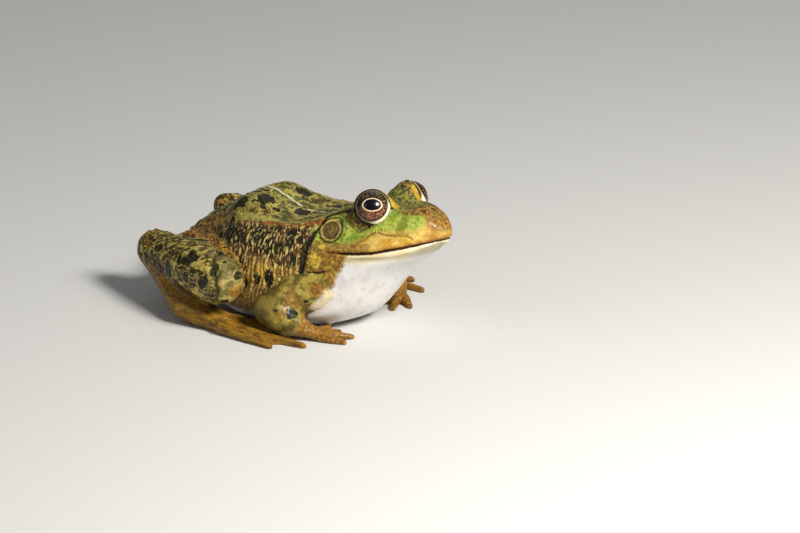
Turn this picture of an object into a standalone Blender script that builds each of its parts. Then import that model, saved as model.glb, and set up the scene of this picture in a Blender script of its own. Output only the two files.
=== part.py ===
"""A marsh frog (Pelophylax ridibundus) sitting at rest, modelled life size as a still museum piece.

The frog faces +X with its left side towards +Y. Head and trunk are one lofted body, parted by thin
cuts into head, lower jaw and trunk. Each limb part is a lofted solid, trimmed where it meets its
neighbours, so that the parts lie close together and never overlap.
"""

import math

import bmesh
import bpy
import numpy as np
from mathutils import Matrix, Vector

# Every length below is in millimetres, and this turns it into metres.
MM = 0.001

# ---- Driving dimensions ----------------------------------------------------------------------
SNOUT_AHEAD = 40.4  # how far the tip of the snout lies ahead of the origin
BODY_LENGTH = 78.0  # snout to the end of the rump
GAP = 0.3  # clearance between parts that touch
MERGE = 0.01 * MM  # points this close are made one after each cut
SUNK = 0.6  # how far each sole and the belly pass below the floor before they are cut flat

EYE_RADIUS = 4.45
EYE_BACK, EYE_SIDE, EYE_UP = 17.4, 7.7, 30.55
BROW_RADII = (4.9, 4.4, 4.4)  # mound of the upper eyelid: along, across, upwards
BROW_SIDE, BROW_UP = 6.1, 30.0

EARDRUM_BACK, EARDRUM_SIDE, EARDRUM_UP = 25.5, 12.5, 24.5
EARDRUM_RADIUS, EARDRUM_THICKNESS = 2.95, 1.5
EARDRUM_TURN, EARDRUM_LEAN = -2.0, 20.0  # degrees backward, and up from level

# Lines that run the length of head and trunk: (behind the snout, half width, height).
SPINE = (
    (0, 0, 26.6), (0.6, 0, 27.6), (1.5, 0, 28.5), (3.3, 0, 29.7), (6.5, 0, 30.8), (10, 0, 31.4),
    (15.5, 0, 31.4), (22, 0, 30.0), (28, 0, 27.4), (34, 0, 25.0), (40, 0, 24.3), (45, 0, 25.3),
    (53.5, 0, 27.5), (57, 0, 26.1), (61, 0, 23.6), (70.5, 0, 17.7), (74.5, 0, 14.0),
    (78, 0, 10.8),
)
LOIN = (
    (0, 0.4, 26.5), (0.6, 0.9, 27.5), (1.5, 1.5, 28.3), (3.3, 2.4, 29.4), (7, 3.2, 30.7),
    (12, 3.7, 31.3), (18, 4.2, 30.8), (23, 5.0, 29.4), (28, 5.8, 27.1), (34, 7.0, 24.7),
    (40, 7.5, 24.0), (44, 7.5, 24.8), (48, 7.3, 27.1), (51, 7.0, 28.1), (55, 6.5, 26.8),
    (60, 5.4, 23.4), (68, 3.8, 17.9), (74.5, 2.4, 13.6), (78, 0.7, 10.7),
)
FOLD = (
    (0, 0.7, 26.4), (0.6, 1.4, 27.2), (1.5, 2.3, 27.9), (3.3, 3.7, 28.7), (7, 5.4, 29.9),
    (12, 6.7, 30.7), (18, 7.8, 30.3), (23, 9.2, 29.0), (28.6, 11.4, 27.2), (33.5, 13.5, 24.8),
    (37, 14.2, 23.8), (45, 14.0, 22.7), (54, 12.2, 22.3), (60, 9.6, 19.3), (68, 6.4, 15.5),
    (74.5, 3.8, 12.4), (78, 1.1, 10.5),
)
FLANK = (
    (0, 0.7, 26.1), (0.6, 1.4, 25.8), (1.5, 2.5, 25.4), (3.3, 4.7, 24.6), (5.3, 7.0, 23.8),
    (8.6, 9.6, 22.6), (12.3, 11.4, 21.5), (16.4, 12.7, 20.5), (20.6, 13.5, 19.8),
    (25, 14.2, 19.2), (30, 14.9, 17.9), (36, 16.6, 15.6), (42, 18.4, 13.4), (48, 18.8, 12.4),
    (54, 16.6, 12.0), (60, 12.8, 11.6), (68, 8.4, 11.0), (74.5, 5.0, 10.4), (78, 1.4, 9.9),
)
BELLY = (
    (0, 0.5, 26.0), (0.6, 1.1, 25.1), (1.5, 1.8, 24.3), (3.3, 3.5, 23.0), (5.3, 5.5, 21.7),
    (8.6, 7.4, 19.5), (12.3, 8.5, 16.9), (16.4, 8.9, 12.8), (20.6, 9.6, 7.6), (25, 11.3, 4.0),
    (30, 13.3, 2.3), (38, 15.2, 1.4), (48, 15.4, 1.0), (56, 12.8, 1.0), (64, 9.0, 2.0),
    (71, 5.6, 4.4), (78, 1.0, 9.2),
)
KEEL = (
    (0, 0, 25.9), (0.6, 0, 24.9), (1.5, 0, 23.9), (3.3, 0, 22.6), (5.3, 0, 21.4),
    (8.6, 0, 19.4), (12.3, 0, 15.9), (16.4, 0, 9.4), (20.6, 0, 4.0), (25, 0, 1.5), (30, 0, 0.3),
    (37, 0, -SUNK), (60, 0, -SUNK), (65, 0, 0.6), (71, 0, 3.4), (78, 0, 9.0),
)
BODY_RINGS = 35
RING_STEPS = 2  # points from each line to the next

# The mouth's slit, and the slanting cut that parts head and jaw from the trunk.
MOUTH = (
    (-2, 25.9), (0, 25.5), (2.6, 24.6), (5, 23.8), (7.6, 22.9), (10.8, 21.9), (13.9, 20.9),
    (17.3, 20.2), (21, 19.7), (24.4, 19.4), (40, 19.2),
)
NECK_TOP, NECK_BOTTOM = (34.0, 34.0), (19.5, -4.0)

# The head is tilted a little to its left: fully up to the first place, not beyond the second.
HEAD_TILT, TILT_FULL, TILT_NONE, TILT_AXIS_UP = 7.0, 20.0, 60.0, 26.0

# Joints of the limbs on the right side: (behind the snout, outwards, up).
SHOULDER, ELBOW, WRIST = (27.5, 11.5, 12.3), (36.8, 22.4, 6.9), (28.6, 19.6, 2.8)
HIP, KNEE = (68.0, 9.0, 11.2), (47.8, 25.7, 12.4)
HEEL = {"R": (76.6, 13.7, 11.6), "L": (75.9, 14.0, 15.0)}  # the left heel stands higher
HEEL_SLIM = {"R": 1.05, "L": 0.7}  # how thick each leg is near its heel, as a share
KNEE_LIFT = {"R": 0.0, "L": -1.6}  # the left leg lies with its knee lower
TARSUS_END = (58.8, 26.0, 3.9)

# Shape of each limb part: (share of its length, half width, half height).
UPPER_ARM = ((0, 5.2, 5.4), (0.35, 4.4, 4.7), (0.75, 3.9, 4.1), (1, 3.6, 3.8))
FOREARM = ((0, 3.8, 3.9), (0.35, 4.1, 4.0), (0.7, 3.3, 3.1), (1, 2.3, 2.1))
THIGH = ((0, 6.6, 5.8), (0.4, 6.9, 6.5), (0.8, 5.6, 5.8), (1, 4.6, 5.0))
SHANK = ((0, 5.2, 5.7), (0.3, 5.9, 6.6), (0.7, 4.9, 5.4), (1, 4.2, 4.7))
TARSUS = ((0, 4.2, 4.3), (0.35, 3.5, 3.6), (0.75, 3.2, 3.2), (1, 3.2, 3.0))
LIMB_SIDES, LIMB_RINGS, CAP_RINGS = 12, 6, 2

# Hand: a palm and four fingers, each (degrees inward of the palm's heading, length, radius).
PALM = ((0, 2.1, 1.9), (0.5, 2.6, 1.6), (1, 2.6, 1.3))
PALM_LENGTH, PALM_UP = 3.6, 1.2
FINGERS = ((50, 5.4, 1.05), (22, 5.8, 1.0), (-4, 7.8, 1.0), (-30, 6.2, 1.0))
HAND_INWARD = {"R": 44.0, "L": 68.0}  # degrees that each hand is turned in from straight ahead

# Foot: a sole and five toes, each (degrees inward, length, radius), joined by a web.
SOLE = ((0, 3.0, 3.1), (0.5, 3.3, 2.7), (1, 3.9, 1.9))
SOLE_LENGTH, SOLE_UP, FOOT_INWARD = 11.0, 1.7, 9.0
TOES = ((26, 7.0, 1.0), (14, 11.5, 1.05), (4, 16.5, 1.1), (-5, 22.5, 1.15), (-15, 16.0, 1.1))
WEB_THICKNESS, WEB_REACH = 0.9, 0.78  # and how far along the toes the web goes
DIGIT_SIDES, DIGIT_RINGS = 6, 2
TIP_UP = 0.55  # height of the axis at the tip of a finger or toe


# ---- Curves and meshes -----------------------------------------------------------------------
def smooth(keys, at):
    """Values of each column of keys at the given places, with no overshoot between keys."""
    keys = np.asarray(keys, float)
    x, rows = keys[:, 0], keys[:, 1:]
    step = np.diff(x)[:, None]
    slope = np.diff(rows, axis=0) / step
    tangent = np.zeros_like(rows)
    same_way = slope[:-1] * slope[1:] > 0
    mean = 2 * slope[:-1] * slope[1:] / np.where(same_way, slope[:-1] + slope[1:], 1)
    tangent[1:-1] = np.where(same_way, mean, 0)
    tangent[0], tangent[-1] = slope[0], slope[-1]
    at = np.clip(np.atleast_1d(at), x[0], x[-1])
    index = np.clip(np.searchsorted(x, at, side="right") - 1, 0, len(x) - 2)
    share = ((at - x[index]) / step[index, 0])[:, None]
    run = step[index]
    return (
        rows[index] * (1 + 2 * share) * (1 - share) ** 2
        + tangent[index] * run * share * (1 - share) ** 2
        + rows[index + 1] * share**2 * (3 - 2 * share)
        + tangent[index + 1] * run * share**2 * (share - 1)
    )


def closed_spline(points, steps):
    """A closed Catmull-Rom curve through points, with steps places from each point to the next."""
    points = np.asarray(points, float)
    before, after = np.roll(points, 1, axis=0), np.roll(points, -1, axis=0)
    beyond = np.roll(points, -2, axis=0)
    share = (np.arange(steps) / steps)[None, :, None]
    a, b, c, d = (p[:, None, :] for p in (before, points, after, beyond))
    curve = 0.5 * (
        2 * b
        + (c - a) * share
        + (2 * a - 5 * b + 4 * c - d) * share**2
        + (3 * b - a - 3 * c + d) * share**3
    )
    return curve.reshape(-1, 2)


def world(back, side, up):
    """A place in metres, from its distance behind the snout, its side and its height."""
    return Vector((SNOUT_AHEAD - back, side, up)) * MM


def new_object(name, bm, location=None):
    """An object from a bmesh, with its normals outward and its origin at location."""
    bm.normal_update()
    bmesh.ops.recalc_face_normals(bm, faces=bm.faces)
    location = location or Vector()
    bmesh.ops.translate(bm, vec=-location, verts=bm.verts)
    mesh = bpy.data.meshes.new(name)
    bm.to_mesh(mesh)
    bm.free()
    obj = bpy.data.objects.new(name, mesh)
    obj.location = location
    bpy.context.scene.collection.objects.link(obj)
    return obj


def skin_rings(rings):
    """A bmesh of quads over rings of points, with a fan closing each end."""
    bm = bmesh.new()
    loops = [[bm.verts.new(point) for point in ring] for ring in rings]
    for first, second in zip(loops, loops[1:]):
        for i in range(len(first)):
            j = (i + 1) % len(first)
            bm.faces.new((first[i], first[j], second[j], second[i]))
    for loop in (loops[0], loops[-1]):
        centre = bm.verts.new(sum((v.co for v in loop), Vector()) / len(loop))
        for i in range(len(loop)):
            bm.faces.new((loop[i], loop[(i + 1) % len(loop)], centre))
    return bm


def tube(start, end, shape, grow=0.0, sides=LIMB_SIDES, rings=LIMB_RINGS, caps=CAP_RINGS):
    """A bmesh of a limb part: oval rings from start to end, with a rounded end on both.

    shape holds (share of the length, half width, half height), and grow widens it all round.
    """
    axis = (end - start).normalized()
    across = axis.cross(Vector((0, 0, 1))).normalized()
    lift = across.cross(axis)
    length = (end - start).length
    places = [(0.0, -math.cos(k / caps * math.pi / 2)) for k in range(caps)]
    places += [(k / rings, 0.0) for k in range(rings + 1)]
    places += [(1.0, math.cos(k / caps * math.pi / 2)) for k in reversed(range(caps))]
    outline = []
    for share, bulge in places:
        wide, high = smooth(shape, share)[0] + grow
        shrink = math.sqrt(max(1 - bulge * bulge, 0.02))
        middle = start + axis * (share * length + bulge * min(wide, high) * 0.98 * MM)
        ring = []
        for k in range(sides):
            angle = 2 * math.pi * (k + 0.5) / sides
            ring.append(
                middle
                + across * (wide * shrink * math.cos(angle) * MM)
                + lift * (high * shrink * math.sin(angle) * MM)
            )
        outline.append(ring)
    return skin_rings(outline)


def ellipsoid(centre, radii, turn=None, grow=0.0, segments=16):
    """A bmesh of an ellipsoid about centre."""
    bm = bmesh.new()
    bmesh.ops.create_uvsphere(bm, u_segments=segments, v_segments=segments // 2 + 2, radius=1)
    scale = Matrix.Diagonal([(r + grow) * MM for r in radii]).to_4x4()
    bm.transform(Matrix.Translation(centre) @ (turn or Matrix()) @ scale)
    return bm


def prism(outline, low, high):
    """A bmesh of a flat outline of (x, y) in metres, from one height to another."""
    bm = bmesh.new()
    face = bm.faces.new([bm.verts.new((x, y, low)) for x, y in outline])
    top = bmesh.ops.extrude_face_region(bm, geom=[face])["geom"]
    raised = [v for v in top if isinstance(v, bmesh.types.BMVert)]
    bmesh.ops.translate(bm, vec=(0, 0, high - low), verts=raised)
    return bm


def cutter(name, bm):
    """A helper object that only shapes others: shown as wire, and never rendered."""
    obj = new_object(name, bm)
    obj.hide_render = True
    obj.display_type = "WIRE"
    return obj


def boolean(obj, other, operation):
    """Applies one exact Boolean to obj."""
    modifier = obj.modifiers.new(operation.title(), "BOOLEAN")
    modifier.operation = operation
    modifier.solver = "EXACT"
    modifier.object = other
    bpy.context.view_layer.update()
    graph = bpy.context.evaluated_depsgraph_get()
    result = bpy.data.meshes.new_from_object(obj.evaluated_get(graph))
    obj.modifiers.clear()
    bm = bmesh.new()
    bm.from_mesh(result)
    bmesh.ops.remove_doubles(bm, verts=bm.verts, dist=MERGE)
    bmesh.ops.dissolve_degenerate(bm, edges=bm.edges, dist=MERGE)
    bmesh.ops.triangulate(bm, faces=[face for face in bm.faces if len(face.verts) > 4])
    bm.to_mesh(result)
    bm.free()
    obj.data = result


def largest_body(obj):
    """Keeps only the largest connected piece, in case a cut leaves a sliver beside it."""
    bm = bmesh.new()
    bm.from_mesh(obj.data)
    left, pieces = set(bm.verts), []
    while left:
        piece, front = set(), [left.pop()]
        while front:
            vert = front.pop()
            piece.add(vert)
            near = {edge.other_vert(vert) for edge in vert.link_edges} & left
            left -= near
            front += near
        pieces.append(piece)
    pieces.sort(key=len)
    for piece in pieces[:-1]:
        bmesh.ops.delete(bm, geom=list(piece), context="VERTS")
    bm.to_mesh(obj.data)
    bm.free()


def union(name, meshes, location):
    """One object from several overlapping bmeshes."""
    whole = new_object(name, meshes[0], location)
    for bm in meshes[1:]:
        part = new_object("joining", bm)
        boolean(whole, part, "UNION")
        bpy.data.objects.remove(part)
    largest_body(whole)
    return whole


def material(name, colour, roughness):
    """A Principled material of one colour."""
    made = bpy.data.materials.new(name)
    made.use_nodes = True
    shader = made.node_tree.nodes["Principled BSDF"]
    shader.inputs["Base Color"].default_value = (*colour, 1.0)
    shader.inputs["Roughness"].default_value = roughness
    shader.inputs["Metallic"].default_value = 0.0
    return made


def level(obj):
    """Cuts obj flat at the floor."""
    boolean(obj, bpy.data.objects["floor_cutter"], "DIFFERENCE")


def finish(obj, finish_material):
    """Gives obj its material and shading, as one body."""
    largest_body(obj)
    obj.data.materials.clear()
    obj.data.materials.append(finish_material)
    for polygon in obj.data.polygons:
        polygon.use_smooth = True


def trimmed(obj, others):
    """Cuts every solid of others out of obj."""
    for other in others:
        boolean(obj, other, "DIFFERENCE")


# ---- Head and trunk --------------------------------------------------------------------------
def body_mesh(grow=0.0):
    """The bmesh of head and trunk in one, from rings across the six lines of the body."""
    backs = BODY_LENGTH * np.linspace(0, 1, BODY_RINGS) ** 1.35
    spine, loin, fold = smooth(SPINE, backs), smooth(LOIN, backs), smooth(FOLD, backs)
    flank, belly, keel = smooth(FLANK, backs), smooth(BELLY, backs), smooth(KEEL, backs)
    rings = []
    for i, back in enumerate(backs):
        left = [loin[i], fold[i], flank[i], belly[i]]
        right = [(-side, up) for side, up in reversed(left)]
        outline = closed_spline([spine[i], *left, keel[i], *right], RING_STEPS)
        rings.append([world(back, side, up) for side, up in outline])
    bm = skin_rings(rings)
    bm.normal_update()
    bmesh.ops.recalc_face_normals(bm, faces=bm.faces)
    if grow:
        moved = [(v, v.co + v.normal * grow * MM) for v in bm.verts]
        for vert, place in moved:
            vert.co = place
    return bm


def tilt(obj):
    """Tilts what belongs to the head to its left, fading out along the neck."""
    for vert in obj.data.vertices:
        place = obj.location + vert.co
        back = SNOUT_AHEAD - place.x / MM
        share = min(max((TILT_NONE - back) / (TILT_NONE - TILT_FULL), 0), 1)
        share *= share * (3 - 2 * share)
        turn = Matrix.Rotation(math.radians(-HEAD_TILT * share), 3, "X")
        axis = Vector((place.x, 0, TILT_AXIS_UP * MM))
        vert.co = turn @ (place - axis) + axis - obj.location


def eye_centre(hand):
    return world(EYE_BACK, hand * EYE_SIDE, EYE_UP)


def eardrum_mesh(hand, grow=0.0):
    """A thin lens set in the side of the head, facing outwards, a little back and up."""
    turn = Matrix.Rotation(math.radians(hand * EARDRUM_TURN), 4, "Z")
    lean = Matrix.Rotation(math.radians(hand * EARDRUM_LEAN), 4, "X")
    radii = (EARDRUM_RADIUS, EARDRUM_THICKNESS / 2, EARDRUM_RADIUS)
    centre = world(EARDRUM_BACK, hand * EARDRUM_SIDE, EARDRUM_UP)
    return ellipsoid(centre, radii, turn @ lean, grow, segments=12)


def neck_plane():
    """(point, normal) of the slanting cut behind the head, with the normal backwards."""
    top, bottom = world(NECK_TOP[0], 0, NECK_TOP[1]), world(NECK_BOTTOM[0], 0, NECK_BOTTOM[1])
    along = (top - bottom).normalized()
    return (top + bottom) / 2, along.cross(Vector((0, 1, 0)))


def half_space(name, point, normal):
    """A cutter that fills everything on the side of the plane that normal points to."""
    size = 400 * MM
    bm = bmesh.new()
    bmesh.ops.create_cube(bm, size=size)
    turn = normal.to_track_quat("Z", "Y").to_matrix().to_4x4()
    middle = point + normal * size / 2
    bm.transform(Matrix.Translation(middle) @ turn)
    return cutter(name, bm)


def head_and_trunk(skin):
    """Makes the body with its brows, and parts it into head, lower jaw and trunk."""
    brows = [
        ellipsoid(world(EYE_BACK, hand * BROW_SIDE, BROW_UP), BROW_RADII) for hand in (-1, 1)
    ]
    whole = union("head", [body_mesh(), *brows], Vector())
    point, normal = neck_plane()
    behind = half_space("behind_neck", point - normal * GAP / 2 * MM, normal)
    before = half_space("before_neck", point + normal * GAP / 2 * MM, -normal)
    trunk = new_object("trunk", body_mesh())
    trimmed(trunk, [before])
    trimmed(whole, [behind])
    jaw = bpy.data.objects.new("lower_jaw", whole.data.copy())
    bpy.context.scene.collection.objects.link(jaw)
    trimmed(whole, [cutter("below_mouth", mouth_block(-60))])
    trimmed(jaw, [cutter("above_mouth", mouth_block(60))])
    for hand in (-1, 1):
        socket = cutter("socket", ellipsoid(eye_centre(hand), [EYE_RADIUS] * 3, grow=GAP))
        recess = cutter("recess", eardrum_mesh(hand, GAP))
        trimmed(whole, [socket, recess])
    for obj in (whole, jaw, trunk):
        tilt(obj)
        level(obj)
        finish(obj, skin[obj.name])


def mouth_block(far):
    """A bmesh over the head's width that fills all heights from the mouth's slit to far."""
    offset = -GAP / 2 if far > MOUTH[0][1] else GAP / 2
    corners = [world(back, -30, up + offset) for back, up in MOUTH]
    corners += [world(MOUTH[-1][0], -30, far), world(MOUTH[0][0], -30, far)]
    bm = bmesh.new()
    face = bm.faces.new([bm.verts.new(corner) for corner in corners])
    moved = bmesh.ops.extrude_face_region(bm, geom=[face])["geom"]
    outer = [v for v in moved if isinstance(v, bmesh.types.BMVert)]
    bmesh.ops.translate(bm, vec=(0, 60 * MM, 0), verts=outer)
    return bm


def eyes_and_eardrums(looks):
    """The two eyeballs and the two eardrums."""
    for side, hand in (("R", -1), ("L", 1)):
        eye = new_object(f"eye_{side}", ellipsoid(eye_centre(hand), [EYE_RADIUS] * 3))
        drum = new_object(f"eardrum_{side}", eardrum_mesh(hand))
        for obj, look in ((eye, "eye"), (drum, "eardrum")):
            tilt(obj)
            finish(obj, looks[look])


# ---- Limbs -----------------------------------------------------------------------------------
def joint(place, hand):
    back, out, up = place
    return world(back, hand * out, up)


def heading(hand, inward):
    """The level direction that is turned inward from straight ahead by some degrees."""
    angle = math.radians(inward)
    return Vector((math.cos(angle), -hand * math.sin(angle), 0))


def digit(root, hand, inward, length, radius):
    """A bmesh of one finger or toe, thick at the root and fine at the tip."""
    tip = root + heading(hand, inward) * length * MM
    tip.z = TIP_UP * MM
    thick, thin = radius * 1.22, radius * 0.6
    shape = ((0, thick, thick), (0.6, radius, radius * 0.9), (1, thin, thin))
    return tube(root, tip, shape, sides=DIGIT_SIDES, rings=DIGIT_RINGS), tip


def arm(side, hand, looks, body):
    """Upper arm, forearm and hand of one side."""
    shoulder, elbow, wrist = (joint(place, hand) for place in (SHOULDER, ELBOW, WRIST))
    fore = new_object(f"forearm_{side}", tube(elbow, wrist, FOREARM), elbow)
    trimmed(fore, [body])
    finish(fore, looks["arm"])
    fore_room = cutter(f"forearm_room_{side}", tube(elbow, wrist, FOREARM, GAP))
    upper = new_object(f"upper_arm_{side}", tube(shoulder, elbow, UPPER_ARM), shoulder)
    trimmed(upper, [body, fore_room])
    finish(upper, looks["arm"])

    inward = HAND_INWARD[side]
    palm_end = wrist + heading(hand, inward) * PALM_LENGTH * MM
    palm_end.z = PALM_UP * MM
    parts = [tube(wrist, palm_end, PALM, sides=8, rings=2)]
    across = Vector((0, 0, 1)).cross(heading(hand, inward)) * hand
    for place, (turn, length, radius) in enumerate(FINGERS):
        root = palm_end - across * (1.5 - place) * 1.15 * MM
        parts.append(digit(root, hand, inward + turn, length, radius)[0])
    palm = union(f"hand_{side}", parts, palm_end)
    level(palm)
    trimmed(palm, [fore_room, body])
    finish(palm, looks["hand"])


def tapered(rows, share):
    """The (place, half width, half height) rows of a limb with their sizes times share."""
    return tuple((place, wide * share, high * share) for place, wide, high in rows)


def leg(side, hand, looks, body):
    """Thigh, shank, tarsus and foot of one side."""
    hip, knee, heel = (joint(place, hand) for place in (HIP, KNEE, HEEL[side]))
    knee.z += KNEE_LIFT[side] * MM
    end = joint(TARSUS_END, hand)
    slim = HEEL_SLIM[side]
    shank_sizes = SHANK[:-2] + tapered(SHANK[-2:], slim)
    tarsus_sizes = tapered(TARSUS[:1], slim) + TARSUS[1:]
    shank = new_object(f"shank_{side}", tube(knee, heel, shank_sizes), knee)
    shank_room = cutter(f"shank_room_{side}", tube(knee, heel, shank_sizes, GAP))
    trimmed(shank, [body])
    finish(shank, looks["leg"])
    thigh = new_object(f"thigh_{side}", tube(hip, knee, THIGH), hip)
    trimmed(thigh, [body, shank_room])
    finish(thigh, looks["leg"])
    thigh_room = cutter(f"thigh_room_{side}", tube(hip, knee, THIGH, GAP))
    tarsus = new_object(f"tarsus_{side}", tube(heel, end, tarsus_sizes), heel)
    trimmed(tarsus, [shank_room, thigh_room, body])
    finish(tarsus, looks["foot"])
    tarsus_room = cutter(f"tarsus_room_{side}", tube(heel, end, tarsus_sizes, GAP))

    ahead = heading(hand, FOOT_INWARD)
    sole_end = end + ahead * SOLE_LENGTH * MM
    sole_end.z = SOLE_UP * MM
    parts = [tube(end, sole_end, SOLE, sides=10, rings=3)]
    across = Vector((0, 0, 1)).cross(ahead) * hand
    tips = []
    for place, (turn, length, radius) in enumerate(TOES):
        root = sole_end - across * (2 - place) * 1.7 * MM
        mesh, tip = digit(root, hand, FOOT_INWARD + turn, length, radius)
        parts.append(mesh)
        tips.append(root.lerp(tip, WEB_REACH))
    corners = [end.lerp(sole_end, 0.7)] + tips
    outline = [(corner.x, corner.y) for corner in corners]
    parts.append(prism(outline, -SUNK * MM, WEB_THICKNESS * MM))
    foot = union(f"foot_{side}", parts, sole_end)
    level(foot)
    trimmed(foot, [tarsus_room, shank_room, body])
    finish(foot, looks["foot"])


def main():
    for obj in list(bpy.data.objects):
        bpy.data.objects.remove(obj)
    half_space("floor_cutter", Vector(), Vector((0, 0, -1)))
    looks = {
        "head": material("head_skin", (0.20, 0.24, 0.05), 0.4),
        "lower_jaw": material("throat_skin", (0.72, 0.66, 0.55), 0.4),
        "trunk": material("trunk_skin", (0.16, 0.13, 0.05), 0.4),
        "eye": material("eye_ball", (0.03, 0.02, 0.01), 0.1),
        "eardrum": material("eardrum_skin", (0.12, 0.07, 0.03), 0.4),
        "arm": material("arm_skin", (0.20, 0.12, 0.04), 0.4),
        "hand": material("hand_skin", (0.25, 0.14, 0.06), 0.4),
        "leg": material("leg_skin", (0.18, 0.15, 0.05), 0.4),
        "foot": material("foot_skin", (0.22, 0.13, 0.06), 0.4),
    }
    head_and_trunk(looks)
    eyes_and_eardrums(looks)
    body = cutter("body_room", body_mesh(GAP))
    tilt(body)
    for side, hand in (("R", -1), ("L", 1)):
        arm(side, hand, looks, body)
        leg(side, hand, looks, body)


main()
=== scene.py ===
"""Looks of a still, life-size marsh frog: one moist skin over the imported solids, two wet eyes and a
plain pale studio. Lengths named in the classes are in millimetres, measured back from the tip of
the snout, out from the middle of the body and up from the floor.
"""

import logging
import math
from dataclasses import dataclass, field
from enum import Enum
from typing import Any

import bmesh
import bpy
import numpy as np
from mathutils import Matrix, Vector
from mathutils.bvhtree import BVHTree


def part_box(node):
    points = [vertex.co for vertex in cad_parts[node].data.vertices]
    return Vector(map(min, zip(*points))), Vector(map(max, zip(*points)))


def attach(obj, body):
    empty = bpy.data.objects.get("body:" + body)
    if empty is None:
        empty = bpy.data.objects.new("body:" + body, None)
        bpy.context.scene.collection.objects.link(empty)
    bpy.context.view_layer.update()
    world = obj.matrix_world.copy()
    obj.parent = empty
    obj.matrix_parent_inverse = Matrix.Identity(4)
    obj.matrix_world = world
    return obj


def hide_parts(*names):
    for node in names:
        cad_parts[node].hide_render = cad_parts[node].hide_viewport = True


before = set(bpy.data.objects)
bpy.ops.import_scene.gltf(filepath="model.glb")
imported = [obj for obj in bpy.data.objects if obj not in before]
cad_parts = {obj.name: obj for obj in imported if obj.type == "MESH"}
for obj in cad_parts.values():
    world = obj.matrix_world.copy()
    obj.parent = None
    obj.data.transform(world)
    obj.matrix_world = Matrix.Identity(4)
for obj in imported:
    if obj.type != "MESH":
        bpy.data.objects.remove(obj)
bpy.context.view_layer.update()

LOG = logging.getLogger("frog")
Array = np.ndarray
MM = 0.001
BODY = "root"
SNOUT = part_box("head")[1].x / MM  # how far ahead of the origin the tip of the snout is


class Side(Enum):
    """The two sides of the animal, with the sign of their way across."""

    RIGHT = -1
    LEFT = 1

    @property
    def letter(self) -> str:
        """The letter that ends the names of this side's solids."""
        return "R" if self is Side.RIGHT else "L"


# ---- Small tools for arrays ---------------------------------------------------------------------
SCATTER = np.array((73856093, 19349663, 83492791))  # these make unlike codes of neighbouring corners
SEED_STEP = 2654435
STIRS = ((13, 1274126177), (16, 668265263))
LOW_BITS = 0x7FFFFFFF
LEVELS = 65536  # how many heights a corner of the lattice can have


def ease(low: float, high: float, value: Array) -> Array:
    """A soft step from 0 at low to 1 at high, which may be the lower number.

    Args:
        low: where the step begins.
        high: where it is done.
        value: the places to give it for.

    Returns:
        The step at each place.
    """
    share = np.clip((value - low) / (high - low), 0.0, 1.0)
    return share * share * (3 - 2 * share)


def bump(value: Array, centre: float, width: float) -> Array:
    """A bell of height 1 about centre, down to a third at one width from it."""
    return np.exp(-(((value - centre) / width) ** 2))


def between(keys: tuple[tuple[float, ...], ...], at: Array) -> list[Array]:
    """The columns of keys after the first, in straight lines between its rows.

    Args:
        keys: rows of (place, value, ...), with the places rising.
        at: the places to give the values for.

    Returns:
        One array for each column of values.
    """
    table = np.asarray(keys, float)
    return [np.interp(at, table[:, 0], table[:, k]) for k in range(1, table.shape[1])]


def lattice(points: Array, size: float, seed: int) -> Array:
    """Smooth noise from 0 to 1 with lumps of one size, the same on every run.

    Args:
        points: rows of (x, y, z).
        size: how large a lump is, in the same unit.
        seed: picks the pattern.

    Returns:
        The noise at each row.
    """
    place = points / size + 1000.0
    cell = np.floor(place).astype(np.int64)
    part = place - cell
    part = part * part * (3 - 2 * part)
    total = np.zeros(len(points))
    for corner in range(8):
        step = np.array([corner & 1, corner >> 1 & 1, corner >> 2 & 1])
        spot = cell + step
        code = np.bitwise_xor.reduce(spot * SCATTER, axis=1) ^ seed * SEED_STEP
        for shift, factor in STIRS:
            code = (code ^ code >> shift) * factor & LOW_BITS
        weight = np.prod(np.where(step, part, 1 - part), axis=1)
        total += weight * (code % LEVELS) / (LEVELS - 1.0)
    return total


def rough(points: Array, size: float, seed: int, layers: int = 3) -> Array:
    """Noise of several sizes laid over one another, from 0 to 1."""
    shares = [0.55**k for k in range(layers)]
    layered = sum(s * lattice(points, size / 2**k, seed + k) for k, s in enumerate(shares))
    return layered / sum(shares)


def oval(first: Array, second: Array, middle: tuple[float, float], halves: tuple[float, float]) -> Array:
    """How far places are from the middle of an oval, whose edge is at 1.

    Args:
        first: one coordinate of the places.
        second: the other.
        middle: the middle of the oval in both.
        halves: its half widths in both.

    Returns:
        The distance of each place, as a share of the way to the edge.
    """
    return np.hypot((first - middle[0]) / halves[0], (second - middle[1]) / halves[1])


def swapped(points: Array) -> Array:
    """Rows of (x, y, z) as (back, side, up), or the other way round."""
    return points * np.array([-1.0, 1.0, 1.0]) + np.array([SNOUT, 0.0, 0.0])


# ---- The frame of the body ----------------------------------------------------------------------
@dataclass(frozen=True)
class HeadTilt:
    """The head's small tilt to its left, which fades out along the neck."""

    degrees: float = 7.0
    full: float = 20.0  # the tilt is whole as far back as this
    none: float = 60.0  # and gone from here on
    axis_up: float = 26.0

    def angle(self, back: Array) -> Array:
        """The tilt at each distance behind the snout, in radians."""
        return math.radians(self.degrees) * ease(self.none, self.full, back)

    def levelled(self, points: Array) -> Array:
        """Places with the tilt taken out, from rows of (back, side, up)."""
        turn = self.angle(points[:, 0])
        lift = points[:, 2] - self.axis_up
        side = points[:, 1] * np.cos(turn) - lift * np.sin(turn)
        up = points[:, 1] * np.sin(turn) + lift * np.cos(turn) + self.axis_up
        return np.stack([points[:, 0], side, up], axis=1)


TILT = HeadTilt()


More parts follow.
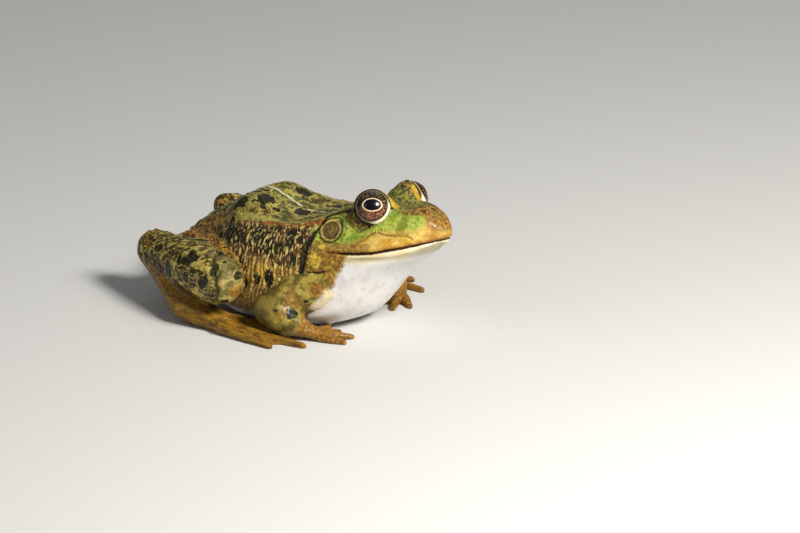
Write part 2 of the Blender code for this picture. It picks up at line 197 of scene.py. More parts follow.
@dataclass(frozen=True)
class EyePlace:
    """Where an eye sits, and where it looks."""

    side: Side
    radius: float = 4.35
    gaze: tuple[float, float, float] = (0.469, 0.779, 0.417)  # ahead, outwards, up
    droop: float = 0.10  # how far the opening of the lids lies below the gaze
    open_to: float = 73.0  # degrees from the axis of the opening to the edge of the lids

    @property
    def node(self) -> str:
        """The solid of this eyeball."""
        return f"eye_{self.side.letter}"

    @property
    def centre(self) -> Vector:
        """The middle of the eyeball, in millimetres."""
        low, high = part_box(self.node)
        return (low + high) / 2 / MM

    @property
    def axes(self) -> tuple[Vector, Vector, Vector]:
        """Unit vectors along the pupil, upwards across it, and out along the gaze."""
        ahead, out, up = self.gaze
        turn = math.radians(TILT.degrees)
        across = self.side.value * out
        look = Vector(
            (
                ahead,
                across * math.cos(turn) + up * math.sin(turn),
                -across * math.sin(turn) + up * math.cos(turn),
            )
        ).normalized()
        level = Vector((0, 0, 1)).cross(look).normalized()
        return level, look.cross(level).normalized(), look

    @property
    def opening(self) -> Vector:
        """The axis of the opening of the lids."""
        _, upwards, look = self.axes
        return (look - upwards * self.droop).normalized()

    def around(self, points: Array) -> tuple[Array, Array, Array, Array, Array]:
        """Where points lie about the eyeball.

        Args:
            points: rows of (x, y, z) in millimetres.

        Returns:
            For each point the unit vector towards it, its distance from the middle, its degrees
            past the edge of the lids, and how far up and how far ahead it lies, from -1 to 1.
        """
        ray = points - np.array(self.centre)
        reach = np.linalg.norm(ray, axis=1)
        unit = ray / reach[:, None]
        past = np.degrees(np.arccos(np.clip(unit @ np.array(self.opening), -1, 1))) - self.open_to
        level, upwards, _ = (np.array(axis) for axis in self.axes)
        return unit, reach, past, unit @ upwards, unit @ level * np.sign(level[0])


EYES = (EyePlace(Side.RIGHT), EyePlace(Side.LEFT))


# ---- Lines and marks of the body ----------------------------------------------------------------
Line = tuple[tuple[float, ...], ...]

MOUTH_LINE: Line = (
    (-2, 25.9), (0, 25.5), (2.6, 24.6), (5, 23.8), (7.6, 22.9), (10.8, 21.9), (13.9, 20.9),
    (17.3, 20.2), (21, 19.7), (24.4, 19.4), (40, 19.2),
)  # (back, up)
FOLD_LINE: Line = (
    (18, 7.8, 30.3), (23, 9.2, 29.0), (26.1, 10.4, 28.0), (28.8, 11.9, 26.4), (31.8, 12.9, 25.4),
    (35.1, 13.5, 24.5), (41.6, 12.7, 24.0), (46.8, 12.7, 23.8), (51.4, 12.1, 23.3),
    (59.5, 9.0, 20.6), (68, 5.6, 16.2), (78, 1.0, 10.6),
)  # (back, out, up) of the fold along each side of the back
STRIPE_LINE: Line = (
    (8, 0), (30, 0.5), (38.4, 0.6), (41.2, 0.0), (45, 0.5), (51, 1.1), (55, 1.6), (62, 1.0), (78, 0),
)  # (back, side) of the pale stripe down the middle of the back
EAR_BAND: Line = (
    (21.6, 29.6), (24.9, 28.5), (27.4, 27.4), (28.5, 25.1), (29.5, 22.8), (30.6, 20.4), (31.0, 18.6),
    (31.0, 16.2), (31.6, 13.9),
)  # (back, up) of the dark fold from the eye over the eardrum and down to the shoulder
SHOULDER_CREASE: Line = ((24.4, 14.9), (27.7, 14.1), (31.4, 13.7))  # (back, up)
LIP_CREASE: Line = (
    (18.4, 22.6), (16.7, 23.5), (15.3, 25.2), (14.0, 25.8), (12.2, 25.4), (10.4, 25.5), (7.3, 25.8),
    (6.2, 25.3),
)  # (back, up) over the upper lip
JAW_CREASE: Line = (
    (20, 18.2), (15, 19.1), (12.7, 19.4), (9.6, 20.0), (7.9, 20.6), (5.4, 21.5), (3.6, 22.7), (1.5, 24),
)  # (back, up) under the lower jaw
GOLD_EDGE: Line = (
    (2.4, 32), (4.2, 28.6), (6.6, 27.0), (10.7, 26.6), (14.1, 26.0), (16.8, 23.9), (19.8, 22.1),
    (23.8, 21.0), (27, 20.3), (40, 19.5),
)  # (back, up) above which the cheek turns from gold to green
THROAT_EDGE: Line = (
    (0, 31), (4, 29.5), (8, 27.0), (11, 23.6), (14.5, 21.6), (17, 20.4), (19.4, 19.6), (24, 17), (26, 12),
)  # (up, back) ahead of which the throat is white
TEMPLE_EDGE: Line = (
    (15.6, 27.6), (16.8, 26.2), (18.3, 25.2), (20.4, 26.2), (22.6, 27.3), (25.0, 28.6),
)  # (back, up) of the dark line behind the eye
KNEE_EDGE: Line = (
    (5, 48.5), (7.4, 47.4), (12, 46.0), (15, 46.9), (17.4, 49.2), (20, 53),
)  # (up, back) of the groove behind the knee
EARDRUM = (25.2, 24.6)  # (back, up)
EARDRUM_RADIUS = 2.5
NOSTRIL = (7.3, 2.1)  # (back, out)
NOSTRIL_HALVES = (0.85, 0.5)
GLAND = (28.0, 17.0)  # (back, up) of the swelling behind the corner of the mouth
GLAND_TAIL = (26.6, 20.4)
FAR = 9.0  # stored where a line or a mark is nowhere near
NO_LID = 99.0  # stored where no lid is near


def line_distance(back: Array, up: Array, line: Line) -> Array:
    """How far places in side view are from a line of straight lengths.

    Args:
        back: distances behind the snout.
        up: heights.
        line: the ends of the lengths, as (back, up).

    Returns:
        The distance of each place from the nearest point of the line.
    """
    nearest = np.full(len(back), np.inf)
    for (b0, u0), (b1, u1) in zip(line, line[1:]):
        run, rise = b1 - b0, u1 - u0
        share = np.clip(((back - b0) * run + (up - u0) * rise) / (run**2 + rise**2), 0, 1)
        away = np.hypot(back - b0 - share * run, up - u0 - share * rise)
        nearest = np.minimum(nearest, away)
    return nearest


@dataclass(frozen=True)
class Spot:
    """One blotch of the skin: its middle, its half length along and up the body, and its lean."""

    back: float
    side: float
    up: float
    long: float
    high: float
    lean: float = 0.0

    def depth(self, points: Array, wave: Array) -> Array:
        """How deep places lie in the spot: 1 in the middle, 0 at the edge, less outside."""
        turn = math.radians(self.lean)
        along = points[:, 0] - self.back
        rise = points[:, 2] - self.up
        across = points[:, 1] - self.side
        length = along * math.cos(turn) + rise * math.sin(turn)
        height = rise * math.cos(turn) - along * math.sin(turn)
        reach = np.hypot(height, across * 0.8)
        return 1 - np.hypot(length / self.long, reach / self.high) + wave

    def mirrored(self, shift: float) -> "Spot":
        """The same spot on the other side, moved back a little, since no two sides are alike."""
        return Spot(self.back + shift, -self.side, self.up, self.long, self.high, -self.lean)


def spots(*rows: tuple[float, ...]) -> tuple[Spot, ...]:
    """Spots from rows of (back, side, up, long, high) and, where it leans, its lean in degrees."""
    return tuple(Spot(*row) for row in rows)


def both(group: tuple[Spot, ...], shift: float) -> tuple[Spot, ...]:
    """Spots and the same ones on the other side, moved back by shift."""
    return group + tuple(spot.mirrored(shift) for spot in group)


BACK_SPOTS = spots(
    (55.0, -8.0, 25.2, 2.8, 2.2), (49.0, -6.4, 27.6, 2.7, 2.3), (41.1, -2.9, 25.0, 2.2, 1.5),
    (47.0, 5.8, 26.4, 2.4, 2.0), (57, 5.8, 23.5, 2.4, 1.9), (39.0, 7.0, 24.6, 2.2, 1.8),
    (62.5, -4.2, 22, 2.3, 1.8), (64, 3.0, 21, 2.3, 1.7), (34.5, -6.5, 26, 1.7, 1.1),
    (69.5, -0.5, 17.8, 2.0, 1.6), (33, 5, 26.3, 1.8, 1.2), (73.5, 2.0, 14.5, 1.5, 1.2),
    (52.5, -1.8, 27.6, 1.3, 0.9), (45.0, -7.6, 26.0, 1.0, 0.8),
)
FLANK_SPOTS = spots(
    (45.3, -14.8, 21.6, 1.3, 2.3), (37.9, -16.9, 20.2, 1.4, 1.5), (35.2, -15.6, 22.8, 1.4, 2.3),
    (54.2, -13.4, 20.4, 2.0, 2.6), (42.5, -19.1, 12.9, 1.0, 2.0), (39.2, -18.6, 13.2, 1.1, 2.0),
    (41.3, -14.8, 22.9, 0.9, 1.7), (50.0, -14.4, 20.4, 1.2, 2.2), (47.6, -17.0, 16.2, 0.9, 1.4),
    (33.6, -16.6, 18.0, 0.9, 1.6), (58.5, -10.5, 17.8, 1.6, 2.0), (45.4, -18.9, 10.6, 0.6, 1.3),
)
SHANK_SPOTS = spots(
    (56.2, -26.3, 16.9, 3.1, 1.7, -18), (50.2, -30.2, 13.0, 1.8, 1.9), (56.4, -28.2, 12.3, 1.8, 1.3),
    (47.8, -28.4, 16.4, 1.0, 1.8), (65.6, -16.5, 16.9, 2.4, 1.2), (64.3, -24.6, 11.6, 1.3, 2.2),
    (75.6, -17.0, 9.0, 1.3, 2.4), (69.5, -20.4, 15.0, 2.2, 1.1, -20), (43.4, -25.4, 14.6, 0.6, 1.3),
    (45.2, -28.4, 8.4, 1.4, 1.0), (47.0, -26.1, 17.4, 0.8, 0.6), (58.4, -19.5, 18.3, 1.5, 1.0),
    (51.4, -22.1, 17.8, 2.7, 1.1), (60.2, -17.4, 18.2, 2.0, 0.9), (60.5, -26.0, 15.6, 1.1, 1.2),
    (70.6, -19.6, 11.0, 1.2, 1.0),
)
PALE_SPOTS = spots(
    (52.0, -28.2, 16.3, 3.4, 2.1, 10), (52.6, -29.4, 9.6, 2.6, 1.2), (61.5, -25.0, 13.6, 1.2, 1.6),
    (66.8, -21.8, 14.2, 1.6, 1.2), (72.6, -18.6, 13.6, 1.4, 1.6), (59.0, -27.2, 9.8, 1.6, 1.0),
    (77.0, -17.8, 13.0, 0.8, 1.4),
)
ARM_SPOTS = spots(
    (30.1, -21.9, 7.0, 1.2, 1.2), (28.5, -19.0, 9.5, 1.4, 0.8), (33.6, -24.4, 7.6, 0.7, 0.6),
    (35.4, -22.0, 9.8, 0.8, 0.6), (30.4, -18.0, 13.0, 0.8, 0.5), (29.6, -21.6, 4.6, 0.6, 0.5),
)
LIMB_SPOTS = both(SHANK_SPOTS, 1.4) + both(ARM_SPOTS, -0.9)
BODY_SPOTS = BACK_SPOTS + both(FLANK_SPOTS, 1.2)
LIGHT_SPOTS = both(PALE_SPOTS, 1.0)


# ---- The skin's shape ---------------------------------------------------------------------------
class Limb(Enum):
    """The parts of the body that the skin tells apart, with the names that their solids start with."""

    BODY = ("head", "lower_jaw", "trunk", "eardrum")
    ARM = ("upper_arm", "forearm")
    HAND = ("hand",)
    THIGH = ("thigh",)
    SHANK = ("shank",)
    TARSUS = ("tarsus",)
    FOOT = ("foot",)


@dataclass
class Skin:
    """The one skin that stands for every solid of flesh."""

    voxel: float = 0.28
    stand_out: float = 0.2  # how far each solid is widened, so that the gaps between them close
    most_triangles: int = 194000
    search: float = 12.0  # no solid is looked for further away than this
    socket_gap: float = 0.35  # how much smaller the balls that fill the sockets are than the eyes
    merge: float = 0.01  # corners of a solid this near to one another are one
    floor_zone: float = 0.35  # what lies lower keeps its height when the facets are rounded off
    rounds: int = 56  # of rounding off
    wrinkle_pitch: float = 1.12
    flesh: tuple[str, ...] = ()
    obj: Any = None
    edges: Array = field(default_factory=lambda: np.zeros((0, 2), int))
    trees: dict[Limb, BVHTree] = field(default_factory=dict)
    away: dict[Limb, Array] = field(default_factory=dict)

    def build(self) -> Any:
        """Models the skin.

        Returns:
            The finished object, without its material.
        """
        eyeballs = {eye.node for eye in EYES}
        self.flesh = tuple(sorted(set(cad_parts) - eyeballs))
        self.gather()
        self.measure()
        self.soften()
        self.sculpt()
        self.thin()
        self.measure()
        self.mark()
        return self.obj

    def gather(self) -> None:
        """Joins widened copies of the solids, with the sockets filled, into one closed mesh."""
        bpy.ops.object.select_all(action="DESELECT")
        parts, groups = [], {limb: bmesh.new() for limb in Limb}
        for name in self.flesh:
            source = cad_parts[name]
            copy = bpy.data.objects.new(f"flesh_{name}", source.data.copy())
            bpy.context.scene.collection.objects.link(copy)
            limb = next(part for part in Limb if name.startswith(part.value))
            groups[limb].from_mesh(source.data)
            bm = bmesh.new()
            bm.from_mesh(copy.data)
            bmesh.ops.remove_doubles(bm, verts=bm.verts, dist=self.merge * MM)
            bm.normal_update()
            for vert in bm.verts:
                vert.co += vert.normal * self.stand_out * MM
            bm.to_mesh(copy.data)
            bm.free()
            parts.append(copy)
        for limb, bm in groups.items():
            self.trees[limb] = BVHTree.FromBMesh(bm)
            bm.free()
        for eye in EYES:
            bpy.ops.mesh.primitive_uv_sphere_add(
                segments=48, ring_count=24, radius=(eye.radius - self.socket_gap) * MM,
                location=eye.centre * MM,
            )
            parts.append(bpy.context.object)
        bpy.ops.object.select_all(action="DESELECT")
        for part in parts:
            part.select_set(True)
        bpy.context.view_layer.objects.active = parts[0]
        bpy.ops.object.join()
        self.obj = bpy.context.object
        bpy.ops.object.transform_apply(location=True, rotation=True, scale=True)
        self.obj.name = self.obj.data.name = "frog_skin"
        self.obj.data.materials.clear()
        remesh = self.obj.modifiers.new("One skin", "REMESH")
        remesh.mode = "VOXEL"
        remesh.voxel_size = self.voxel * MM
        bpy.ops.object.modifier_apply(modifier=remesh.name)
        self.read_edges()

    def read_edges(self) -> None:
        """Keeps the edges of the mesh as an array."""
        mesh = self.obj.data
        pairs = np.zeros(len(mesh.edges) * 2, np.int64)
        mesh.edges.foreach_get("vertices", pairs)
        self.edges = pairs.reshape(-1, 2)

    def measure(self) -> None:
        """Works out how far each vertex is from the solids of each part of the body."""
        points = [vert.co for vert in self.obj.data.vertices]
        for limb, tree in self.trees.items():
            found = [tree.find_nearest(point, self.search * MM) for point in points]
            self.away[limb] = np.array([self.search if hit[3] is None else hit[3] / MM for hit in found])

    def share(self, *limbs: Limb, width: float = 0.9, shift: Array | float = 0.0) -> Array:
        """How much each vertex belongs to some parts of the body, from 0 to 1.

        Args:
            *limbs: the parts.
            width: how far the change reaches to each side of the border.
            shift: moves the border outwards, in millimetres.

        Returns:
            The share at each vertex.
        """
        own = np.minimum.reduce([self.away[limb] for limb in limbs])
        others = np.minimum.reduce([self.away[limb] for limb in Limb if limb not in limbs])
        return ease(width, -width, own - others - shift)

    def frame_points(self) -> Array:
        """Every vertex, in millimetres of the frame."""
        flat = np.zeros(len(self.obj.data.vertices) * 3)
        self.obj.data.vertices.foreach_get("co", flat)
        return flat.reshape(-1, 3) / MM

    def put(self, points: Array) -> None:
        """Writes every vertex back, none of them below the floor."""
        points[:, 2] = np.maximum(points[:, 2], 0.0)
        self.obj.data.vertices.foreach_set("co", (points * MM).reshape(-1))
        self.obj.data.update()

    def normals(self) -> Array:
        """The unit normal at every vertex."""
        flat = np.zeros(len(self.obj.data.vertices) * 3, np.float32)
        self.obj.data.vertex_normals.foreach_get("vector", flat)
        return flat.reshape(-1, 3).astype(float)

    def spread(self, values: Array, rounds: int, weight: Array | float = 1.0) -> Array:
        """Evens values out over the surface.

        Args:
            values: one row for each vertex.
            rounds: how often each value moves half way to the mean of its neighbours.
            weight: how much of that each vertex takes.

        Returns:
            The evened values.
        """
        first, second = self.edges.T
        count = len(self.obj.data.vertices)
        degree = np.bincount(first, minlength=count) + np.bincount(second, minlength=count)
        rows = values.reshape(count, -1).astype(float)
        share = 0.5 * np.broadcast_to(weight, (count,))
        for _ in range(rounds):
            for k in range(rows.shape[1]):
                column = rows[:, k]
                total = np.bincount(first, column[second], count)
                total += np.bincount(second, column[first], count)
                rows[:, k] += share * (total / np.maximum(degree, 1) - column)
        return rows.reshape(values.shape)

    @staticmethod
    def places(points: Array) -> tuple[Array, Array]:
        """(back, side, up) of each point as it lies, and the same with the tilt taken out."""
        lying = swapped(points)
        return lying, TILT.levelled(lying)

    def soften(self) -> None:
        """Rounds off the facets of the solids, less on the thin hands and feet."""
        points = self.frame_points()
        thin = self.share(Limb.HAND, Limb.FOOT, width=0.5)
        joint = np.minimum(self.away[Limb.TARSUS], self.away[Limb.ARM])
        weight = 1.0 - 0.88 * thin * ease(0.3, 2.5, joint)
        floor = points[:, 2] < self.floor_zone
        softened = self.spread(points, self.rounds, weight)
        softened[floor, 2] = points[floor, 2]
        self.put(softened)

    # ---- Sculpting ------------------------------------------------------------------------------
    def sculpt(self) -> None:
        """Adds lips, nostrils and eardrums, then lids, folds and wrinkles, then warts."""
        self.push(self.head_relief)
        self.lids()
        self.push(self.fold_relief)
        self.push(self.wart_relief)

    def push(self, relief: Any) -> None:
        """Moves each vertex along its normal by what relief gives for (lying, level, normals)."""
        points = self.frame_points()
        normals = self.normals()
        lying, level = self.places(points)
        self.put(points + normals * relief(lying, level, normals)[:, None])

    def head_relief(self, lying: Array, level: Array, normals: Array) -> Array:
        """Lips, nostrils, eardrums and the creases over the upper lip and under the jaw."""
        back, out, up = level[:, 0], np.abs(level[:, 1]), level[:, 2]
        (line,) = between(MOUTH_LINE, back)
        over = up - line
        body = self.share(Limb.BODY)
        mouth = ease(26.5, 24.0, back) * body
        deep = 0.34 + 0.34 * ease(4, 16, back)
        move = -deep * bump(over, 0.0, 0.26) * mouth
        move += 0.22 * bump(over, 0.80, 0.45) * mouth * ease(0.5, 5, back)
        move += 0.10 * bump(over, -0.8, 0.45) * mouth
        jaw = line_distance(back, up, JAW_CREASE)
        move -= 0.30 * bump(jaw, 0, 0.5) * ease(22, 16, back) * body
        crease = line_distance(back, up, LIP_CREASE)
        under_crease = line_distance(back, up + 0.75, LIP_CREASE)
        move += (-0.18 * bump(crease, 0, 0.28) + 0.16 * bump(under_crease, 0, 0.5)) * ease(3, 5, out)
        nose = oval(back, out, NOSTRIL, NOSTRIL_HALVES)
        top = ease(27, 28.5, up)
        move += (0.24 * bump(nose, 1.8, 0.9) - 1.0 * bump(nose, 0.0, 0.85)) * top
        drum = oval(back, up, EARDRUM, (1, 1))
        side = ease(8, 10, out) * body
        edge = EARDRUM_RADIUS
        move += (0.22 * bump(drum, edge - 0.1, 0.3) - 0.30 * bump(drum, edge + 0.6, 0.4)) * side
        move += (-0.26 * ease(edge, edge - 0.7, drum) + 0.14 * bump(drum, 0, 1.0)) * side
        gland = oval(back, up, GLAND, (1.6, 2.2))
        tail = oval(back, up, GLAND_TAIL, (1.6, 1.3))
        move += (0.65 * bump(gland, 0, 0.85) + 0.28 * bump(tail, 0, 0.9)) * ease(10, 12, out) * body
        ridge = np.abs(out - (2.2 + 0.36 * back))
        move += 0.22 * bump(ridge, 0, 0.6) * ease(2, 5, back) * ease(14, 11, back) * top
        dip = oval(back, out, (15, 0), (6, 2.4))
        return move - 0.5 * bump(dip, 0, 1.0) * ease(29, 30.5, up)

    def lids(self) -> None:
        """Wraps the skin round each eyeball, open about its gaze, with a bead along the lids."""
        points = self.frame_points()
        for eye in EYES:
            unit, reach, past, high, fore = eye.around(points)
            near = reach < eye.radius + 1.6
            low_rear = ease(0.35, -0.35, high) * ease(0.75, 0.2, fore)
            shell = eye.radius + 0.24 * ease(-1.0, 6.0, past) + 0.05 * bump(past, 5.0, 3.5)
            shell += (0.20 * bump(past, 19.0, 4.0) - 0.20 * bump(past, 11.5, 3.0)) * low_rear
            shell -= 0.35 * ease(1.0, -1.5, past)
            lid = near & (past > -1.5) & (past < 77)
            reach_new = np.where(lid, np.maximum(reach, shell), reach)
            hold = ease(14, 1, past) * ease(eye.radius + 2.2, eye.radius + 0.7, reach) * (past > -1.5)
            reach_new -= hold * np.maximum(reach_new - shell - 0.06, 0)
            inside = (reach < eye.radius + 2.2) & (past <= -1.5)
            reach_new = np.where(inside, np.minimum(reach_new, eye.radius - 0.5), reach_new)
            points = np.array(eye.centre) + unit * reach_new[:, None]
            ring = ease(8, 14, past) * ease(70, 40, past) * (reach < eye.radius + 2.4)
            points = self.spread(points, 6, ring)
        self.put(points)

    def fold_relief(self, lying: Array, level: Array, normals: Array) -> Array:
        """The folds along the back and over the eardrums, and the creases of the limbs."""
        back, out, up = level[:, 0], np.abs(level[:, 1]), level[:, 2]
        fold_out, fold_up = between(FOLD_LINE, back)
        away = np.hypot(out - fold_out, up - fold_up)
        below = ease(0.0, 1.2, fold_up - up)
        lumps = 0.75 + 0.5 * lattice(level, 1.3, 3)
        reach = ease(22, 25, back) * ease(70, 62, back)
        body = self.share(Limb.BODY)
        move = 0.50 * bump(away, 0, 0.7) * reach * lumps * body
        move -= 0.30 * bump(away, 1.8, 0.7) * below * reach * body
        side = ease(8, 10.5, out) * body
        band = line_distance(back, up, EAR_BAND)
        ahead = line_distance(back + 1.2, up - 0.2, EAR_BAND)
        deep = 0.25 + 0.25 * ease(26, 22, up)
        move += (-deep * bump(band, 0, 0.5) + 0.30 * bump(ahead, 0, 0.6)) * side
        crease = line_distance(back, up, SHOULDER_CREASE)
        move -= 0.45 * bump(crease, 0, 0.4) * ease(9, 11, out) * body
        (knee,) = between(KNEE_EDGE, lying[:, 2])
        limb = self.share(Limb.SHANK, Limb.THIGH)
        lobe = lying[:, 0] - knee
        at_knee = limb * ease(20, 23, np.abs(lying[:, 1])) * ease(4.5, 6.5, lying[:, 2])
        move += (-0.45 * bump(lobe, 0, 0.55) + 0.15 * bump(lobe, 1.6, 0.9)) * at_knee
        return move + self.wrinkles(level) * 0.26

    def wrinkles(self, level: Array) -> Array:
        """Fine upright wrinkles of the flank, from -1 in a furrow to 1 on a ridge."""
        back, out, up = level[:, 0], np.abs(level[:, 1]), level[:, 2]
        _, fold_up = between(FOLD_LINE, back)
        zone = ease(0.5, 1.8, fold_up - up) * ease(3.0, 8.5, up) * ease(31.5, 33.5, back)
        zone *= ease(63, 57, back) * ease(7, 9.5, out) * self.share(Limb.BODY)
        warp = 2.2 * (rough(level, 6.0, 11) - 0.5) + 1.1 * (lattice(level, 1.4, 15) - 0.5)
        wave = np.sin((back + warp + 0.10 * (up - 14)) * 2 * math.pi / self.wrinkle_pitch)
        stretched = level * np.array([1.0, 0.5, 0.36])
        broken = lattice(stretched, 0.8, 21) - 0.5
        return (wave * 0.6 + 1.0 * broken) * zone

    def wart_relief(self, lying: Array, level: Array, normals: Array) -> Array:
        """Low warts on the back and limbs, and a finer grain elsewhere."""
        up = level[:, 2]
        top = ease(6, 10, up)
        limbs = 1 - self.share(Limb.BODY)
        face = ease(24, 20, level[:, 0])
        lumps = ease(0.60, 0.86, lattice(level, 1.15, 31)) * 0.22 * top * (1 - 0.85 * face)
        fine = (lattice(level, 0.6, 37) - 0.5) * (0.06 + 0.05 * limbs) * ease(1.0, 3.0, up)
        smooth = ease(-0.75, 0.25, normals[:, 2])
        for eye in EYES:
            away = np.linalg.norm(swapped(lying) - np.array(eye.centre), axis=1)
            smooth = smooth * ease(eye.radius + 0.4, eye.radius + 1.4, away)
        return (lumps + fine) * smooth

    def thin(self) -> None:
        """Brings the mesh under the most triangles it may have, keeping what is sharply curved."""
        triangles = sum(len(p.vertices) - 2 for p in self.obj.data.polygons)
        bpy.context.view_layer.objects.active = self.obj
        if triangles > self.most_triangles:
            cut = self.obj.modifiers.new("Thin", "DECIMATE")
            cut.ratio = self.most_triangles / triangles
            bpy.ops.object.modifier_apply(modifier=cut.name)
        for polygon in self.obj.data.polygons:
            polygon.use_smooth = True
        self.read_edges()
        LOG.info("skin: %d triangles before thinning", triangles)

    # ---- Marks ----------------------------------------------------------------------------------
    def keep(self, name: str, values: Array) -> None:
        """Stores one number for each vertex under a name that the material reads."""
        made = self.obj.data.attributes.new(name, "FLOAT", "POINT")
        made.data.foreach_set("value", values.astype(np.float32))

    def mark(self) -> None:
        """Writes where each marking of the skin lies."""
        points = self.frame_points()
        lying, level = self.places(points)
        wave = (rough(level, 1.9, 41) - 0.5) * 1.9
        soft = rough(level, 3.0, 47) - 0.5
        body = self.share(Limb.BODY, shift=soft * 0.8)
        self.head_marks(level, body, soft)
        self.trunk_marks(level, body, soft)
        self.limb_marks(lying, soft)
        for name, group, on_body in (
            ("body_spot", BODY_SPOTS, True),
            ("limb_spot", LIMB_SPOTS, False),
            ("light_spot", LIGHT_SPOTS, False),
        ):
            depth = np.maximum.reduce([spot.depth(lying, wave) for spot in group])
            depth = np.where((body > 0.5) == on_body, depth, -1.0)
            self.keep(name, np.clip(depth, -1, 1))
        self.lid_marks(points)

    def head_marks(self, level: Array, body: Array, soft: Array) -> None:
        """Writes the marks of head and throat, as distances in millimetres or as shares."""
        back, out, up = level[:, 0], np.abs(level[:, 1]), level[:, 2]
        (line,) = between(MOUTH_LINE, back)
        (gold,) = between(GOLD_EDGE, back)
        (throat,) = between(THROAT_EDGE, up)
        (temple,) = between(TEMPLE_EDGE, back)
        here = body > 0.5
        side = here & (out > 8)
        over = np.where(here, up - line, FAR)
        slit = line_distance(back, up, MOUTH_LINE[:-1]) + 0.3 * ease(20, 24.4, back)
        width = 0.30 + 0.55 * ease(25.0, 20.5, up) - 0.25 * ease(16, 14, up)
        band = line_distance(back + soft * 0.5, up, EAR_BAND) / width
        crease = line_distance(back, up, SHOULDER_CREASE) / (0.10 + 0.30 * ease(24.4, 28.5, back))
        for name, zone, distance in (
            ("mouth", here, slit),
            ("streak", side, line_distance(back, up, TEMPLE_EDGE)),
            ("lip_crease", here & (out > 2.5), line_distance(back, up, LIP_CREASE)),
            ("jaw_crease", here, line_distance(back, up, JAW_CREASE)),
            ("nose", here & (up > 27), oval(back, out, NOSTRIL, NOSTRIL_HALVES)),
            ("band", side, np.minimum(band, crease)),
            ("drum", side, oval(back, up, EARDRUM, (EARDRUM_RADIUS, EARDRUM_RADIUS))),
        ):
            self.keep(name, np.where(zone, distance, FAR))
        under = ease(3.6, 1.6, up + soft * 1.5)
        chin = ease(1.9, -1.5, back - throat + soft * 2.5) * ease(0.2, -0.2, over)
        top = np.interp(back, (14, 20), (30.2, 27.0))
        behind_eye = ease(26.5, 24.5, back) * ease(15.4, 16.4, back) * ease(4, 6, out)
        for name, share in (
            ("head", ease(29.0, 26.0, back + soft * 3 - ease(27, 22, up) * 1.5)),
            ("pale", np.maximum(chin, under)),
            ("shoulder", ease(33, 31.5, back + soft) * ease(0.3, -0.5, over)),
            ("snout", ease(5.0, 3.2, back)),
            ("bridge", ease(29.9, 30.8, up + soft) * ease(11, 8.5, back)),
            ("tip_top", ease(5.6, 3.0, out) * ease(26.2, 28.4, up) * ease(9.5, 7.0, back)),
            ("crown", ease(-0.6, 0.6, up + soft - top) * ease(8, 10, back) * ease(8, 5.5, out)),
            ("brow", ease(30.4, 31.6, up) * ease(12.4, 13.6, back) * ease(3.4, 4.4, out)),
            ("temple", ease(-0.2, 0.5, up - temple) * behind_eye),
        ):
            self.keep(name, share * body)
        corner = ease(12, 17, back) * ease(3.4, 1.8, over) * ease(-0.3, 0.2, over) * ease(8, 9, out)
        gland = oval(back, up, GLAND, (1.7, 2.5))
        tail = oval(back, up, GLAND_TAIL, (1.6, 1.4))
        self.keep("over", over)
        self.keep("over_gold", np.where(here, up - gold, FAR) + soft * 1.2)
        self.keep("lip_rear", corner)
        self.keep("gland", np.maximum(bump(gland, 0, 0.9), 0.7 * bump(tail, 0, 0.9)) * side)

    def trunk_marks(self, level: Array, body: Array, soft: Array) -> None:
        """Writes the marks of back and flank."""
        back, out, up = level[:, 0], np.abs(level[:, 1]), level[:, 2]
        fold_out, fold_up = between(FOLD_LINE, back)
        (stripe,) = between(STRIPE_LINE, back)
        taper = ease(20, 38, back) * ease(79, 70, back) * ease(13, 15, up) * body
        self.keep("stripe", np.clip(np.abs(level[:, 1] - stripe) / np.maximum(taper, 0.02), 0, FAR))
        away = np.hypot(out - fold_out, up - fold_up) * np.where(up > fold_up, 1, -1)
        on = ease(21.5, 24, back) * ease(72, 64, back) * body
        self.keep("fold", np.where(on > 0.5, np.clip(away, -FAR, FAR), FAR))
        below = ease(-0.4, 0.8, fold_up - up + soft * 0.8) * ease(4, 8, out)
        self.keep("flank", below * ease(29.5, 31.5, back) * body)
        self.keep("depth", np.clip((fold_up - up) / np.maximum(fold_up - 3.0, 1), 0, 1))
        self.keep("rump", ease(53, 59, back + soft * 3) * ease(25.5, 22.0, up) * ease(2.5, 5.0, out) * body)
        self.keep("wrinkle", self.wrinkles(level))

    def limb_marks(self, lying: Array, soft: Array) -> None:
        """Writes the masks of arms, knees, feet and hands."""
        back, side, up = lying.T
        out = np.abs(side)
        self.keep("arm", self.share(Limb.ARM, Limb.HAND, shift=soft * 0.8))
        self.keep("foot", self.share(Limb.FOOT, Limb.TARSUS, shift=soft * 0.8))
        self.keep("leg", self.share(Limb.THIGH, Limb.SHANK, shift=soft * 0.8))
        self.keep("thigh", self.share(Limb.THIGH, shift=soft * 1.2))
        (edge,) = between(KNEE_EDGE, up)
        leg = self.share(Limb.THIGH, Limb.SHANK) * ease(19.5, 22, out)
        self.keep("knee", ease(0.8, -0.6, back - edge + soft * 0.8) * leg)
        self.keep("knee_top", ease(13.0, 16.0, up) * ease(55, 51, back) * leg)
        self.keep("heel", ease(71.5, 75.5, back + soft * 2) * ease(11.5, 14.5, up) * self.share(Limb.SHANK))
        self.keep("elbow", ease(31.5, 35.5, back) * self.share(Limb.ARM))
        # distance from the crease behind the knee, along which shade is painted
        self.keep("knee_line", np.where(leg > 0.5, np.abs(back - edge), FAR))
        shank = self.share(Limb.SHANK)
        # where the shank lies over the foot, for painted shade in the gap
        self.keep("under_shank", ease(3.6, 1.4, self.away[Limb.TARSUS]) * shank * ease(52, 56, back))
        self.keep("knee_front", ease(2.6, 1.2, self.away[Limb.BODY]) * shank * ease(49, 47.5, back))
        rust = bump(oval(back, up, (43.0, 10.3), (1.0, 3.0)), 0, 1.0) * leg
        hand = ease(5.0, 0.5, self.away[Limb.HAND]) * self.share(Limb.ARM, Limb.HAND)
